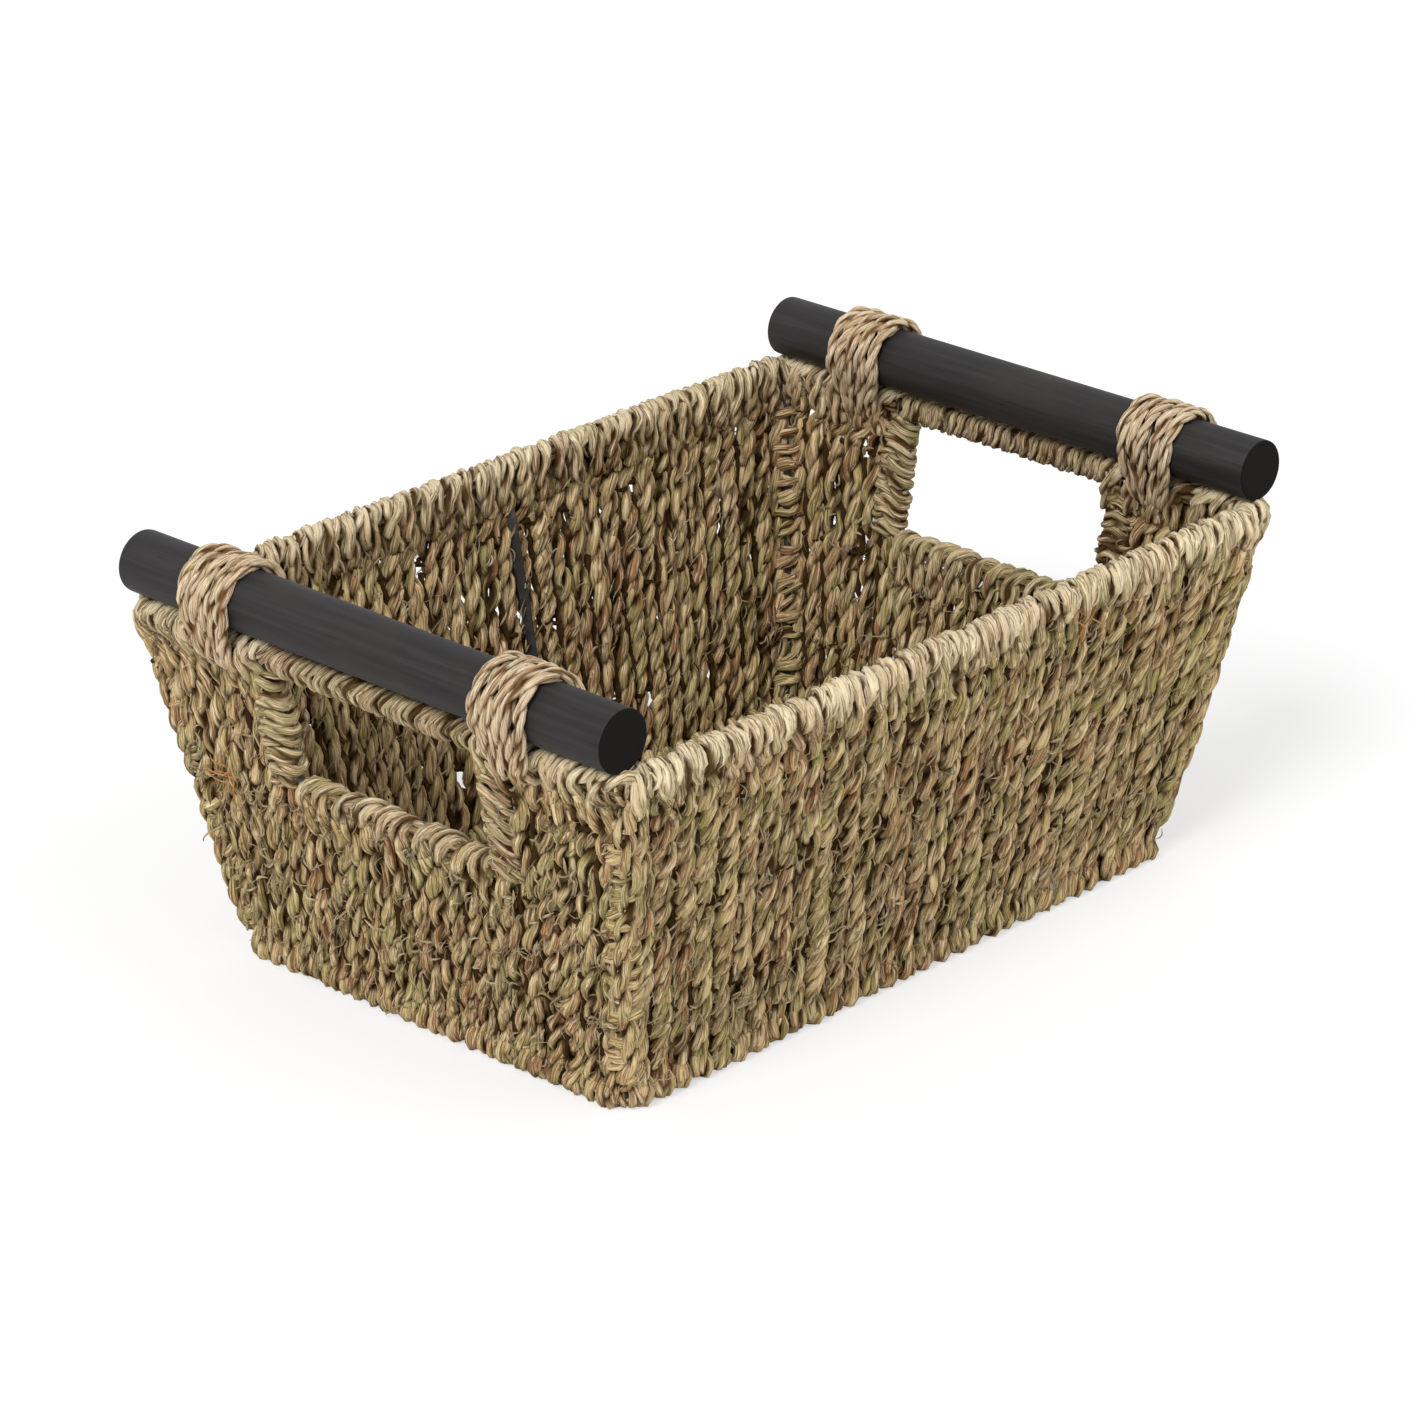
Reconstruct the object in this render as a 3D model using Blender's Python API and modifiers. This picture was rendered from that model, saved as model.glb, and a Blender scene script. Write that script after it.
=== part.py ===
"""Low rectangular basket: twisted seagrass cord woven on a welded wire frame, with two lashed dowels.

X runs along the basket, Y across it and Z up from the surface it stands on.  Lengths are in metres.
"""

import math

import bmesh
import bpy
from mathutils import Vector

OBJECT_NAME = "seagrass_basket"

# Whole basket
RIM_LENGTH = 0.336
RIM_WIDTH = 0.238
BASE_LENGTH = 0.2855
BASE_WIDTH = 0.188
RIM_HEIGHT = 0.136
GAP = 0.0003

# The surface that it stands on, as the block which presses the cord under the base flat
GROUND_HALF_SIZE = 0.25
GROUND_DEPTH = 0.02

# Wire frame
WIRE_RADIUS = 0.002
RIM_CORNER_RADIUS = 0.010
BASE_CORNER_RADIUS = 0.008
HOOP_X = 0.009
HOOP_INSET = 0.003
HOOP_BEND_RADIUS = 0.010
HOOP_LEAN_HEIGHT = 0.013

# Cord wrapped along the wires
RIM_BINDING_RADIUS = 0.006
BASE_BINDING_RADIUS = 0.0055
HOLE_BINDING_RADIUS = 0.005
LACING_RADIUS = 0.005
BASE_WIRE_HEIGHT = 0.0042
RIM_WRAP_STEP = 0.0108
BASE_WRAP_STEP = 0.0206
HOLE_WRAP_STEP = 0.0108
LACING_STEP = 0.0125
WRAP_WAIST = 0.86
BASE_WRAP_WAIST = 0.92
BINDING_TAIL = 0.0015

# Woven cord
LONG_WALL_CORDS = 30
END_WALL_CORDS = 22
WALL_ROWS = 5
BASE_ROWS = 3
WALL_THICKNESS = 0.007
WALL_SWAY = 0.0012
CORD_WAIST = 0.5
WALL_END_INSET = 0.006
BASE_THICKNESS = 0.006
BASE_SWAY = 0.0008
BASE_WEAVE_HEIGHT = 0.0050

# Hand holes in the end walls
HOLE_WIRE_HALF_WIDTH = 0.0495
HOLE_WIRE_HEIGHT = 0.080
HOLE_WIRE_CORNER_RADIUS = 0.007

# Dowel handles and their lashings
DOWEL_RADIUS = 0.011
DOWEL_LENGTH = 0.225
DOWEL_BEVEL = 0.0008
LASHING_OFFSET = 0.069
LASHING_WIDTH = 0.027
LASHING_THICKNESS = 0.0032
LASHING_TURNS = 4
DOWEL_BELT_STEPS = 9
RIM_BELT_STEPS = 4
LASHING_VALLEY = 0.62
LASHING_TAPER = 0.72

# Facets round the wires, the wrapped cords and the cutters, from the bevel resolution of their curves
WIRE_RESOLUTION = 1
CORD_RESOLUTION = 1
CUTTER_RESOLUTION = 2
CUTTER_SIDES = 8
DOWEL_SIDES = 24

# Steps in a bend of wire and in a bend of wrapped cord, and how far a cutter runs past what it cuts
BEND_STEPS = 4
CORNER_STEPS = 3
RUN_PAST = 0.007

RIM_HALF_X = RIM_LENGTH / 2 - RIM_BINDING_RADIUS
RIM_HALF_Y = RIM_WIDTH / 2 - RIM_BINDING_RADIUS
RIM_Z = RIM_HEIGHT - RIM_BINDING_RADIUS
BASE_HALF_X = BASE_LENGTH / 2 - BASE_BINDING_RADIUS
BASE_HALF_Y = BASE_WIDTH / 2 - BASE_BINDING_RADIUS
BASE_Z = BASE_WIRE_HEIGHT
WIRE_END_Z = RIM_Z - WIRE_RADIUS - GAP
WEAVE_TOP = RIM_Z - RIM_BINDING_RADIUS - GAP
WEAVE_LOW = BASE_Z + BASE_BINDING_RADIUS + GAP
BASE_WEAVE_HALF_X = BASE_HALF_X - BASE_BINDING_RADIUS - GAP
BASE_WEAVE_HALF_Y = BASE_HALF_Y - BASE_BINDING_RADIUS - GAP
DOWEL_X = RIM_HALF_X
DOWEL_Z = RIM_HEIGHT + DOWEL_RADIUS + GAP

FINISHES = {
    "seagrass_weave": ((0.36, 0.28, 0.17), 0.85, 0.0),
    "seagrass_binding": ((0.52, 0.43, 0.28), 0.85, 0.0),
    "lashing_cord": ((0.55, 0.40, 0.22), 0.8, 0.0),
    "black_wood": ((0.035, 0.031, 0.029), 0.6, 0.0),
    "black_steel": ((0.03, 0.03, 0.03), 0.45, 0.0),
}


def clear_scene():
    for old in list(bpy.data.objects):
        bpy.data.objects.remove(old, do_unlink=True)


def new_collection(name):
    collection = bpy.data.collections.new(name)
    bpy.context.scene.collection.children.link(collection)
    return collection


def finish_material(name):
    """One Principled material for a finish, made the first time that it is asked for."""
    found = bpy.data.materials.get(name)
    if found:
        return found
    colour, roughness, metallic = FINISHES[name]
    material = bpy.data.materials.new(name)
    material.use_nodes = True
    shader = material.node_tree.nodes["Principled BSDF"]
    shader.inputs["Base Color"].default_value = (*colour, 1.0)
    shader.inputs["Roughness"].default_value = roughness
    shader.inputs["Metallic"].default_value = metallic
    material.diffuse_color = (*colour, 1.0)
    return material


def add_object(name, data, collection, finish=None):
    obj = bpy.data.objects.new(name, data)
    collection.objects.link(obj)
    if finish:
        data.materials.append(finish_material(finish))
    return obj


def as_cutter(obj):
    obj.hide_render = True
    obj.display_type = "WIRE"
    return obj


# Curves and tubes

def tube_curve(name, points, radius, resolution, closed=False, swell=None):
    """A round tube through the points; swell scales the radius at each point."""
    curve = bpy.data.curves.new(name, "CURVE")
    curve.dimensions = "3D"
    curve.bevel_depth = radius
    curve.bevel_resolution = resolution
    curve.use_fill_caps = not closed
    spline = curve.splines.new("POLY")
    spline.points.add(len(points) - 1)
    spline.use_cyclic_u = closed
    for index, place in enumerate(points):
        spline.points[index].co = (*place, 1.0)
        spline.points[index].radius = swell[index] if swell else 1.0
    return curve


def tube_mesh_object(name, curve, collection, finish=None):
    """The tube as a mesh whose end caps are welded on, so that it can be cut or can cut."""
    source = add_object(name + "_path", curve, collection)
    graph = bpy.context.evaluated_depsgraph_get()
    mesh = bpy.data.meshes.new_from_object(source.evaluated_get(graph))
    mesh.name = name
    bpy.data.objects.remove(source, do_unlink=True)
    bm = bmesh.new()
    bm.from_mesh(mesh)
    bmesh.ops.remove_doubles(bm, verts=bm.verts, dist=0.00001)
    bmesh.ops.recalc_face_normals(bm, faces=bm.faces)
    bm.to_mesh(mesh)
    bm.free()
    mesh.materials.clear()
    return add_object(name, mesh, collection, finish)


def tube_cutter(name, points, radius, closed=False):
    """A tube that clears a round piece of this radius by the gap, also between its facets."""
    clear_radius = (radius + GAP) / math.cos(math.pi / CUTTER_SIDES)
    curve = tube_curve(name, points, clear_radius, CUTTER_RESOLUTION, closed)
    return as_cutter(tube_mesh_object(name, curve, cutters))


def box_cutter(name, low, high):
    bm = bmesh.new()
    bmesh.ops.create_cube(bm, size=1.0)
    for vert in bm.verts:
        vert.co = [low[i] + (vert.co[i] + 0.5) * (high[i] - low[i]) for i in range(3)]
    mesh = bpy.data.meshes.new(name)
    bm.to_mesh(mesh)
    bm.free()
    return as_cutter(add_object(name, mesh, cutters))


def cut_away(obj, *cutting):
    """Take all the cutters away in one pass, as a collection of their own."""
    group = bpy.data.collections.new(obj.name + "_cutters")
    cutters.children.link(group)
    for cutter in cutting:
        group.objects.link(cutter)
    cut = obj.modifiers.new("clearances", "BOOLEAN")
    cut.operation = "DIFFERENCE"
    cut.solver = "EXACT"
    cut.operand_type = "COLLECTION"
    cut.collection = group


def arc(centre, radius, start, end, steps):
    """Points (a, b) on an arc, both ends included."""
    angles = [start + (end - start) * i / steps for i in range(steps + 1)]
    return [(centre[0] + radius * math.cos(t), centre[1] + radius * math.sin(t)) for t in angles]


def outer_arc(centre, radius, start, end, steps):
    """The arc's points moved out until its chords touch the circle from outside."""
    return arc(centre, radius / math.cos((end - start) / steps / 2), start, end, steps)


def loop_place(distance, half_x, half_y, corner, height):
    """A place on a rounded rectangle, this far round it anticlockwise from the middle of its front side."""
    straight_x = 2 * (half_x - corner)
    straight_y = 2 * (half_y - corner)
    bend = math.pi / 2 * corner
    around = 2 * (straight_x + straight_y) + 4 * bend
    left = (distance + straight_x / 2) % around
    x, y = -straight_x / 2, -half_y
    heading = 0.0
    for straight in (straight_x, straight_y, straight_x, straight_y):
        ahead = Vector((math.cos(heading), math.sin(heading)))
        inward = Vector((-ahead.y, ahead.x))
        start = Vector((x, y))
        if left <= straight:
            place = start + ahead * left
            return (place.x, place.y, height)
        left -= straight
        centre = start + ahead * straight + inward * corner
        if left <= bend:
            turn = heading - math.pi / 2 + left / corner
            return (centre.x + corner * math.cos(turn), centre.y + corner * math.sin(turn), height)
        left -= bend
        heading += math.pi / 2
        x, y = centre + Vector((math.cos(heading - math.pi / 2), math.sin(heading - math.pi / 2))) * corner
    return (x, y, height)


def whole_loop(half_x, half_y, corner, height):
    """The corner arcs of a rounded rectangle, joined by its straight sides."""
    points = []
    for quarter, (sx, sy) in enumerate(((1, -1), (1, 1), (-1, 1), (-1, -1))):
        centre = (sx * (half_x - corner), sy * (half_y - corner))
        start = (quarter - 1) * math.pi / 2
        bend = arc(centre, corner, start, start + math.pi / 2, BEND_STEPS)
        points += [(a, b, height) for a, b in bend]
    return points


# The walls lean out evenly from the base wire to the rim wire

def rise(height):
    return (height - BASE_Z) / (RIM_Z - BASE_Z)


def wall_half_x(height):
    return BASE_HALF_X + (RIM_HALF_X - BASE_HALF_X) * rise(height)


def wall_half_y(height):
    return BASE_HALF_Y + (RIM_HALF_Y - BASE_HALF_Y) * rise(height)


def corner_place(height):
    """Where a corner post stands in the bends of the rim wire and the base wire, for the +X +Y corner."""
    bend = 1 - math.sqrt(0.5)
    low = Vector((BASE_HALF_X - bend * BASE_CORNER_RADIUS, BASE_HALF_Y - bend * BASE_CORNER_RADIUS, BASE_Z))
    top = Vector((RIM_HALF_X - bend * RIM_CORNER_RADIUS, RIM_HALF_Y - bend * RIM_CORNER_RADIUS, RIM_Z))
    return low.lerp(top, rise(height))


def corner_line(sx, sy, low, high):
    ends = [corner_place(low), corner_place(high)]
    return [(sx * end.x, sy * end.y, end.z) for end in ends]


def hoop_points():
    """The middle hoop: down inside the front wall, over the base and up inside the back wall."""
    floor_z = BASE_WEAVE_HEIGHT + HOOP_INSET
    bend_z = floor_z + HOOP_BEND_RADIUS
    bend_y = wall_half_y(bend_z) - HOOP_INSET - HOOP_BEND_RADIUS
    lean_z = WIRE_END_Z - HOOP_LEAN_HEIGHT
    half = [(wall_half_y(WIRE_END_Z), WIRE_END_Z), (wall_half_y(lean_z) - HOOP_INSET, lean_z)]
    half += arc((bend_y, bend_z), HOOP_BEND_RADIUS, 0.0, -math.pi / 2, BEND_STEPS)
    front = [(HOOP_X, -y, z) for y, z in half]
    back = [(HOOP_X, y, z) for y, z in reversed(half)]
    return front + back


def hole_points(side, top):
    """The U of wire that holds a hand hole open, hung from the rim wire in the plane of an end wall."""
    inner = HOLE_WIRE_HALF_WIDTH - HOLE_WIRE_CORNER_RADIUS
    low = HOLE_WIRE_HEIGHT + HOLE_WIRE_CORNER_RADIUS
    outline = [(-HOLE_WIRE_HALF_WIDTH, top)]
    outline += arc((-inner, low), HOLE_WIRE_CORNER_RADIUS, math.pi, 1.5 * math.pi, CORNER_STEPS)
    outline += arc((inner, low), HOLE_WIRE_CORNER_RADIUS, 1.5 * math.pi, 2 * math.pi, CORNER_STEPS)
    outline += [(HOLE_WIRE_HALF_WIDTH, top)]
    return [(side * wall_half_x(z), y, z) for y, z in outline]


def spaced(points, step):
    """Points a step apart along a line of straight runs, both ends kept."""
    runs = [Vector(b) - Vector(a) for a, b in zip(points, points[1:])]
    total = sum(run.length for run in runs)
    count = max(2, round(total / step))
    placed = []
    for index in range(count + 1):
        left = min(total * index / count, total - 1e-9)
        for start, run in zip(points, runs):
            if left <= run.length:
                placed.append(tuple(Vector(start) + run * (left / run.length)))
                break
            left -= run.length
    return placed


# Wrapped cord

def wrapped_cord(name, points, radius, waist, cutting, finish="seagrass_binding"):
    """Cord wound along a wire: crowns and the waists between them take turns along the points."""
    swell = [waist if index % 2 == 0 else 1.0 for index in range(len(points))]
    curve = tube_curve(name, points, radius, CORD_RESOLUTION, swell=swell)
    obj = tube_mesh_object(name, curve, parts, finish)
    cut_away(obj, *cutting)


def even_stops(half, step):
    """An odd number of places, evenly about a step apart, from -half to half."""
    count = 2 * round(half / step)
    return [half * (2 * index / count - 1) for index in range(count + 1)]


def loop_bindings(prefix, loop, radius, waist, step, cutting):
    """Cord along a closed wire, in four lengths: the two long ones also take the corners."""
    half_x, half_y, corner, height = loop
    bend = math.pi / 2 * corner
    straight = half_x - corner
    round_corner = [straight + bend * index / CORNER_STEPS for index in range(1, CORNER_STEPS + 1)]
    round_corner.append(straight + bend + BINDING_TAIL)
    long_stops = [-stop for stop in reversed(round_corner)] + even_stops(straight, step) + round_corner
    short_stops = even_stops(half_y - corner - BINDING_TAIL - GAP, step)
    quarter = straight + bend + half_y - corner
    for index, side in enumerate(("front", "right", "back", "left")):
        stops = long_stops if side in SIDES_Y else short_stops
        points = [loop_place(index * quarter + stop, half_x, half_y, corner, height) for stop in stops]
        wrapped_cord(f"{prefix}_{side}", points, radius, waist, cutting[side])


# Woven cord

def woven_sheet(name, surface, cords, rows, thickness, sway, cutting):
    """Cords side by side that pass behind and in front of one row wire after another.

    surface(u, v) gives the middle of the sheet, u across its cords and v along them.
    """
    bm = bmesh.new()
    bmesh.ops.create_grid(bm, x_segments=2 * cords, y_segments=rows, size=0.5)
    crowns = []
    for vert in bm.verts:
        column = round((vert.co.x + 0.5) * 2 * cords)
        row = round((vert.co.y + 0.5) * rows)
        place, outward = surface(column / (2 * cords), row / rows)
        if column % 2:
            crowns.append(vert.index)
            in_front = (column // 2 + row) % 2 == 0
            place = place + outward * (sway if in_front else -sway)
        vert.co = place
    mesh = bpy.data.meshes.new(name)
    bm.to_mesh(mesh)
    bm.free()
    obj = add_object(name, mesh, parts, "seagrass_weave")
    crown_group = obj.vertex_groups.new(name="crowns")
    crown_group.add(crowns, 1.0, "REPLACE")
    thick = obj.modifiers.new("cord_thickness", "SOLIDIFY")
    thick.thickness = thickness
    thick.offset = 0.0
    thick.vertex_group = crown_group.name
    thick.thickness_vertex_group = CORD_WAIST
    cut_away(obj, *cutting)


def long_wall_surface(side):
    """The front (side -1) or back (side +1) wall, from its base binding up to its rim binding."""
    def surface(u, v):
        height = WEAVE_LOW + (WEAVE_TOP - WEAVE_LOW) * v
        along = (2 * u - 1) * (wall_half_x(height) - WALL_END_INSET)
        return Vector((-side * along, side * wall_half_y(height), height)), Vector((0, side, 0))
    return surface


def end_wall_surface(side):
    def surface(u, v):
        height = WEAVE_LOW + (WEAVE_TOP - WEAVE_LOW) * v
        along = (2 * u - 1) * (wall_half_y(height) - WALL_END_INSET)
        return Vector((side * wall_half_x(height), side * along, height)), Vector((side, 0, 0))
    return surface


def base_surface(u, v):
    place = Vector(((2 * u - 1) * BASE_WEAVE_HALF_X, (2 * v - 1) * BASE_WEAVE_HALF_Y, BASE_WEAVE_HEIGHT))
    return place, Vector((0, 0, 1))


# Dowel handles

def dowel(name, side):
    """A plain rod with its end edges just broken, laid across an end of the basket."""
    bm = bmesh.new()
    bmesh.ops.create_cone(bm, cap_ends=True, segments=DOWEL_SIDES, radius1=DOWEL_RADIUS,
                          radius2=DOWEL_RADIUS, depth=DOWEL_LENGTH)
    rims = [edge for edge in bm.edges if abs(edge.verts[0].co.z - edge.verts[1].co.z) < 1e-6]
    bmesh.ops.bevel(bm, geom=rims, offset=DOWEL_BEVEL, affect="EDGES", segments=1, profile=0.5, material=-1)
    mesh = bpy.data.meshes.new(name)
    bm.to_mesh(mesh)
    bm.free()
    obj = add_object(name, mesh, parts, "black_wood")
    mesh.shade_smooth()
    mesh.set_sharp_from_angle(angle=math.radians(40))
    obj.location = (side * DOWEL_X, 0, DOWEL_Z)
    obj.rotation_euler = (math.pi / 2, 0, 0)


def lashing_profile():
    """Section of a lashing: flat against the wood, one crown for each turn of cord."""
    turn = LASHING_WIDTH / LASHING_TURNS
    valley = LASHING_VALLEY * LASHING_THICKNESS
    outline = [(0.0, LASHING_WIDTH / 2), (0.0, -LASHING_WIDTH / 2)]
    for index in range(LASHING_TURNS):
        start = index * turn - LASHING_WIDTH / 2
        outline += [(-valley, start), (-LASHING_THICKNESS, start + turn / 2)]
    outline.append((-valley, LASHING_WIDTH / 2))
    curve = bpy.data.curves.new("lashing_profile", "CURVE")
    curve.dimensions = "2D"
    spline = curve.splines.new("POLY")
    spline.points.add(len(outline) - 1)
    spline.use_cyclic_u = True
    for index, (a, b) in enumerate(outline):
        spline.points[index].co = (a, b, 0.0, 1.0)
    return as_cutter(add_object("lashing_profile", curve, cutters))


def lashing(name, side, offset, profile):
    """A belt of cord round the dowel and the rim, drawn in where it grips the rim."""
    big = DOWEL_RADIUS + GAP
    small = RIM_BINDING_RADIUS + GAP
    reach = Vector((RIM_HALF_X - DOWEL_X, RIM_Z - DOWEL_Z))
    facing = math.atan2(reach.y, reach.x)
    touch = math.acos((big - small) / reach.length)
    round_dowel = outer_arc((0, 0), big, facing + touch, facing + 2 * math.pi - touch, DOWEL_BELT_STEPS)
    round_rim = outer_arc(reach, small, facing - touch, facing + touch, RIM_BELT_STEPS)
    belt = round_dowel + round_rim
    curve = bpy.data.curves.new(name, "CURVE")
    curve.dimensions = "2D"
    curve.bevel_mode = "OBJECT"
    curve.bevel_object = profile
    spline = curve.splines.new("POLY")
    spline.points.add(len(belt) - 1)
    spline.use_cyclic_u = True
    for index, (a, b) in enumerate(belt):
        spline.points[index].co = (a, b, 0.0, 1.0)
        spline.points[index].radius = 1.0 if index < len(round_dowel) else LASHING_TAPER
    obj = add_object(name, curve, parts, "lashing_cord")
    turn = 0.0 if side > 0 else math.pi
    obj.location = (side * DOWEL_X, offset, DOWEL_Z)
    obj.rotation_euler = (math.pi / 2, 0, turn)


# Assembly

clear_scene()
parts = new_collection(OBJECT_NAME)
cutters = new_collection("cutters")

SIDES_X = {"left": -1, "right": 1}
SIDES_Y = {"front": -1, "back": 1}
CORNERS = {"front_left": (-1, -1), "front_right": (1, -1), "back_left": (-1, 1), "back_right": (1, 1)}
RIM_LOOP = (RIM_HALF_X, RIM_HALF_Y, RIM_CORNER_RADIUS, RIM_Z)
BASE_LOOP = (BASE_HALF_X, BASE_HALF_Y, BASE_CORNER_RADIUS, BASE_Z)
POST_LOW = BASE_Z + WIRE_RADIUS + GAP


def add_wire(name, points, closed=False):
    curve = tube_curve(name, points, WIRE_RADIUS, WIRE_RESOLUTION, closed)
    if closed:
        return add_object(name, curve, parts, "black_steel")
    return tube_mesh_object(name, curve, parts, "black_steel")


def build_frame():
    """The wires, and for each of them the room that the cords leave for it."""
    room = {}
    add_wire("rim_wire", whole_loop(*RIM_LOOP), closed=True)
    room["rim_wire"] = tube_cutter("rim_wire_room", whole_loop(*RIM_LOOP), WIRE_RADIUS, closed=True)
    add_wire("base_wire", whole_loop(*BASE_LOOP), closed=True)
    room["base_wire"] = tube_cutter("base_wire_room", whole_loop(*BASE_LOOP), WIRE_RADIUS, closed=True)
    for corner, (sx, sy) in CORNERS.items():
        add_wire(f"corner_post_{corner}", corner_line(sx, sy, POST_LOW, WIRE_END_Z))
        line = corner_line(sx, sy, BASE_Z, RIM_Z)
        room[corner] = tube_cutter(f"corner_post_{corner}_room", line, WIRE_RADIUS)
    add_wire("middle_hoop", hoop_points())
    room["hoop"] = tube_cutter("middle_hoop_room", hoop_points(), WIRE_RADIUS)
    for end, side in SIDES_X.items():
        add_wire(f"hand_hole_wire_{end}", hole_points(side, WIRE_END_Z))
        room[end] = tube_cutter(f"hand_hole_wire_{end}_room", hole_points(side, RIM_Z), WIRE_RADIUS)
    return room


def build_bindings(room):
    """Cord wound round the rim, the base edge, the corner posts and the hand holes."""
    posts = {side: [room[c] for c in CORNERS if side in c] for side in SIDES_Y}
    rim_cuts = {side: [room["rim_wire"], *posts[side], room["hoop"]] for side in SIDES_Y}
    base_cuts = {side: [room["base_wire"], *posts[side], ground] for side in SIDES_Y}
    for end in SIDES_X:
        rim_cuts[end] = [room["rim_wire"], room[end]]
        base_cuts[end] = [room["base_wire"], ground]
    loop_bindings("rim_binding", RIM_LOOP, RIM_BINDING_RADIUS, WRAP_WAIST, RIM_WRAP_STEP, rim_cuts)
    loop_bindings("base_binding", BASE_LOOP, BASE_BINDING_RADIUS, BASE_WRAP_WAIST, BASE_WRAP_STEP, base_cuts)
    for corner, (sx, sy) in CORNERS.items():
        line = spaced(corner_line(sx, sy, WEAVE_LOW, WEAVE_TOP), LACING_STEP)
        wrapped_cord(f"corner_lacing_{corner}", line, LACING_RADIUS, WRAP_WAIST, [room[corner]],
                     "seagrass_weave")
    for end, side in SIDES_X.items():
        line = spaced(hole_points(side, WEAVE_TOP), HOLE_WRAP_STEP)
        wrapped_cord(f"hand_hole_binding_{end}", line, HOLE_BINDING_RADIUS, WRAP_WAIST, [room[end]],
                     "seagrass_weave")


def end_wall_openings(end, side):
    """The hand hole with its wrapped wire, and a slot under the rim for each lashing."""
    low_x = min(side * BASE_HALF_X, side * RIM_LENGTH / 2)
    high_x = max(side * BASE_HALF_X, side * RIM_LENGTH / 2)
    u_line = hole_points(side, RIM_Z + RUN_PAST)
    openings = [tube_cutter(f"hand_hole_binding_{end}_room", u_line, HOLE_BINDING_RADIUS)]
    openings.append(box_cutter(f"hand_hole_{end}_room",
                               (low_x, -HOLE_WIRE_HALF_WIDTH, HOLE_WIRE_HEIGHT),
                               (high_x, HOLE_WIRE_HALF_WIDTH, RIM_HEIGHT)))
    slot_low = RIM_Z - RIM_BINDING_RADIUS - LASHING_THICKNESS - 2 * GAP
    half_slot = LASHING_WIDTH * LASHING_TAPER / 2 + 2 * GAP
    for word, sy in SIDES_Y.items():
        openings.append(box_cutter(f"lashing_{end}_{word}_room",
                                   (low_x, sy * LASHING_OFFSET - half_slot, slot_low),
                                   (high_x, sy * LASHING_OFFSET + half_slot, RIM_HEIGHT)))
    return openings


def build_weave(room):
    """The four walls and the base, cut back to the cords and wires that edge them."""
    lacing_room = {}
    for corner, (sx, sy) in CORNERS.items():
        line = corner_line(sx, sy, BASE_Z - RUN_PAST, RIM_Z + RUN_PAST)
        lacing_room[corner] = tube_cutter(f"corner_lacing_{corner}_room", line, LACING_RADIUS)
    for name, side in SIDES_Y.items():
        ends = [lacing_room[c] for c in CORNERS if name in c]
        woven_sheet(f"{name}_wall_weave", long_wall_surface(side), LONG_WALL_CORDS, WALL_ROWS,
                    WALL_THICKNESS, WALL_SWAY, [*ends, room["hoop"]])
    for name, side in SIDES_X.items():
        ends = [lacing_room[c] for c in CORNERS if name in c]
        woven_sheet(f"{name}_wall_weave", end_wall_surface(side), END_WALL_CORDS, WALL_ROWS,
                    WALL_THICKNESS, WALL_SWAY, [*ends, *end_wall_openings(name, side)])
    bends = []
    for quarter, corner in enumerate(("front_right", "back_right", "back_left", "front_left")):
        start = quarter * (BEND_STEPS + 1)
        bend = whole_loop(*BASE_LOOP)[start:start + BEND_STEPS + 1]
        bends.append(tube_cutter(f"base_bend_{corner}_room", bend, BASE_BINDING_RADIUS))
    woven_sheet("base_weave", base_surface, LONG_WALL_CORDS, BASE_ROWS, BASE_THICKNESS, BASE_SWAY,
                [room["hoop"], *bends])


def build_handles():
    profile = lashing_profile()
    for name, side in SIDES_X.items():
        dowel(f"dowel_handle_{name}", side)
        for word, sy in SIDES_Y.items():
            lashing(f"handle_lashing_{name}_{word}", side, sy * LASHING_OFFSET, profile)


ground = box_cutter("ground", (-GROUND_HALF_SIZE, -GROUND_HALF_SIZE, -GROUND_DEPTH),
                    (GROUND_HALF_SIZE, GROUND_HALF_SIZE, 0.0))
wire_room = build_frame()
build_bindings(wire_room)
build_weave(wire_room)
build_handles()
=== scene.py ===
import random
from math import acos, atan2, cos, pi, radians, sin, sqrt

import bpy
import bmesh
from mathutils import Matrix, Vector, noise


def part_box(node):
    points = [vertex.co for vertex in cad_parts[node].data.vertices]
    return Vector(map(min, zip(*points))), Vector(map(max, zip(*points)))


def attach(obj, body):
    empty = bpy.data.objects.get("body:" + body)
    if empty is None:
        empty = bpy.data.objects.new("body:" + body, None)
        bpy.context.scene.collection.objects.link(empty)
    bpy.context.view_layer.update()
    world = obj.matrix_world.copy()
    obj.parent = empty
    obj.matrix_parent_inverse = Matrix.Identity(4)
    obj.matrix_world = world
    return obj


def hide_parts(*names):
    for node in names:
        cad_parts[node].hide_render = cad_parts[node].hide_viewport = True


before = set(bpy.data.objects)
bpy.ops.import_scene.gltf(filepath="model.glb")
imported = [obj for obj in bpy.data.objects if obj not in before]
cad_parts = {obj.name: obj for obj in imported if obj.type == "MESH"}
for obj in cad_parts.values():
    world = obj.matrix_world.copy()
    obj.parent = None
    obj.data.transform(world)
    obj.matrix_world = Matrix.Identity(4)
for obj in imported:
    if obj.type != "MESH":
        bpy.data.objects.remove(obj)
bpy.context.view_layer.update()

UP = Vector((0, 0, 1))
TURN = 2 * pi
SCENE = bpy.context.scene
MM = 0.001


def ripple(x, y, z):
    """Smooth noise, from about -1 to 1."""
    return noise.noise(Vector((x, y, z)))


def add_object(name, data):
    """Puts an object with this data in the scene."""
    made = bpy.data.objects.new(name, data)
    SCENE.collection.objects.link(made)
    return made


# The wires' own radius, and the radius of the bends in the rim wire and the base wire
WIRE_RADIUS = 0.002
RIM_BEND, BASE_BEND = 0.010, 0.008


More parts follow.
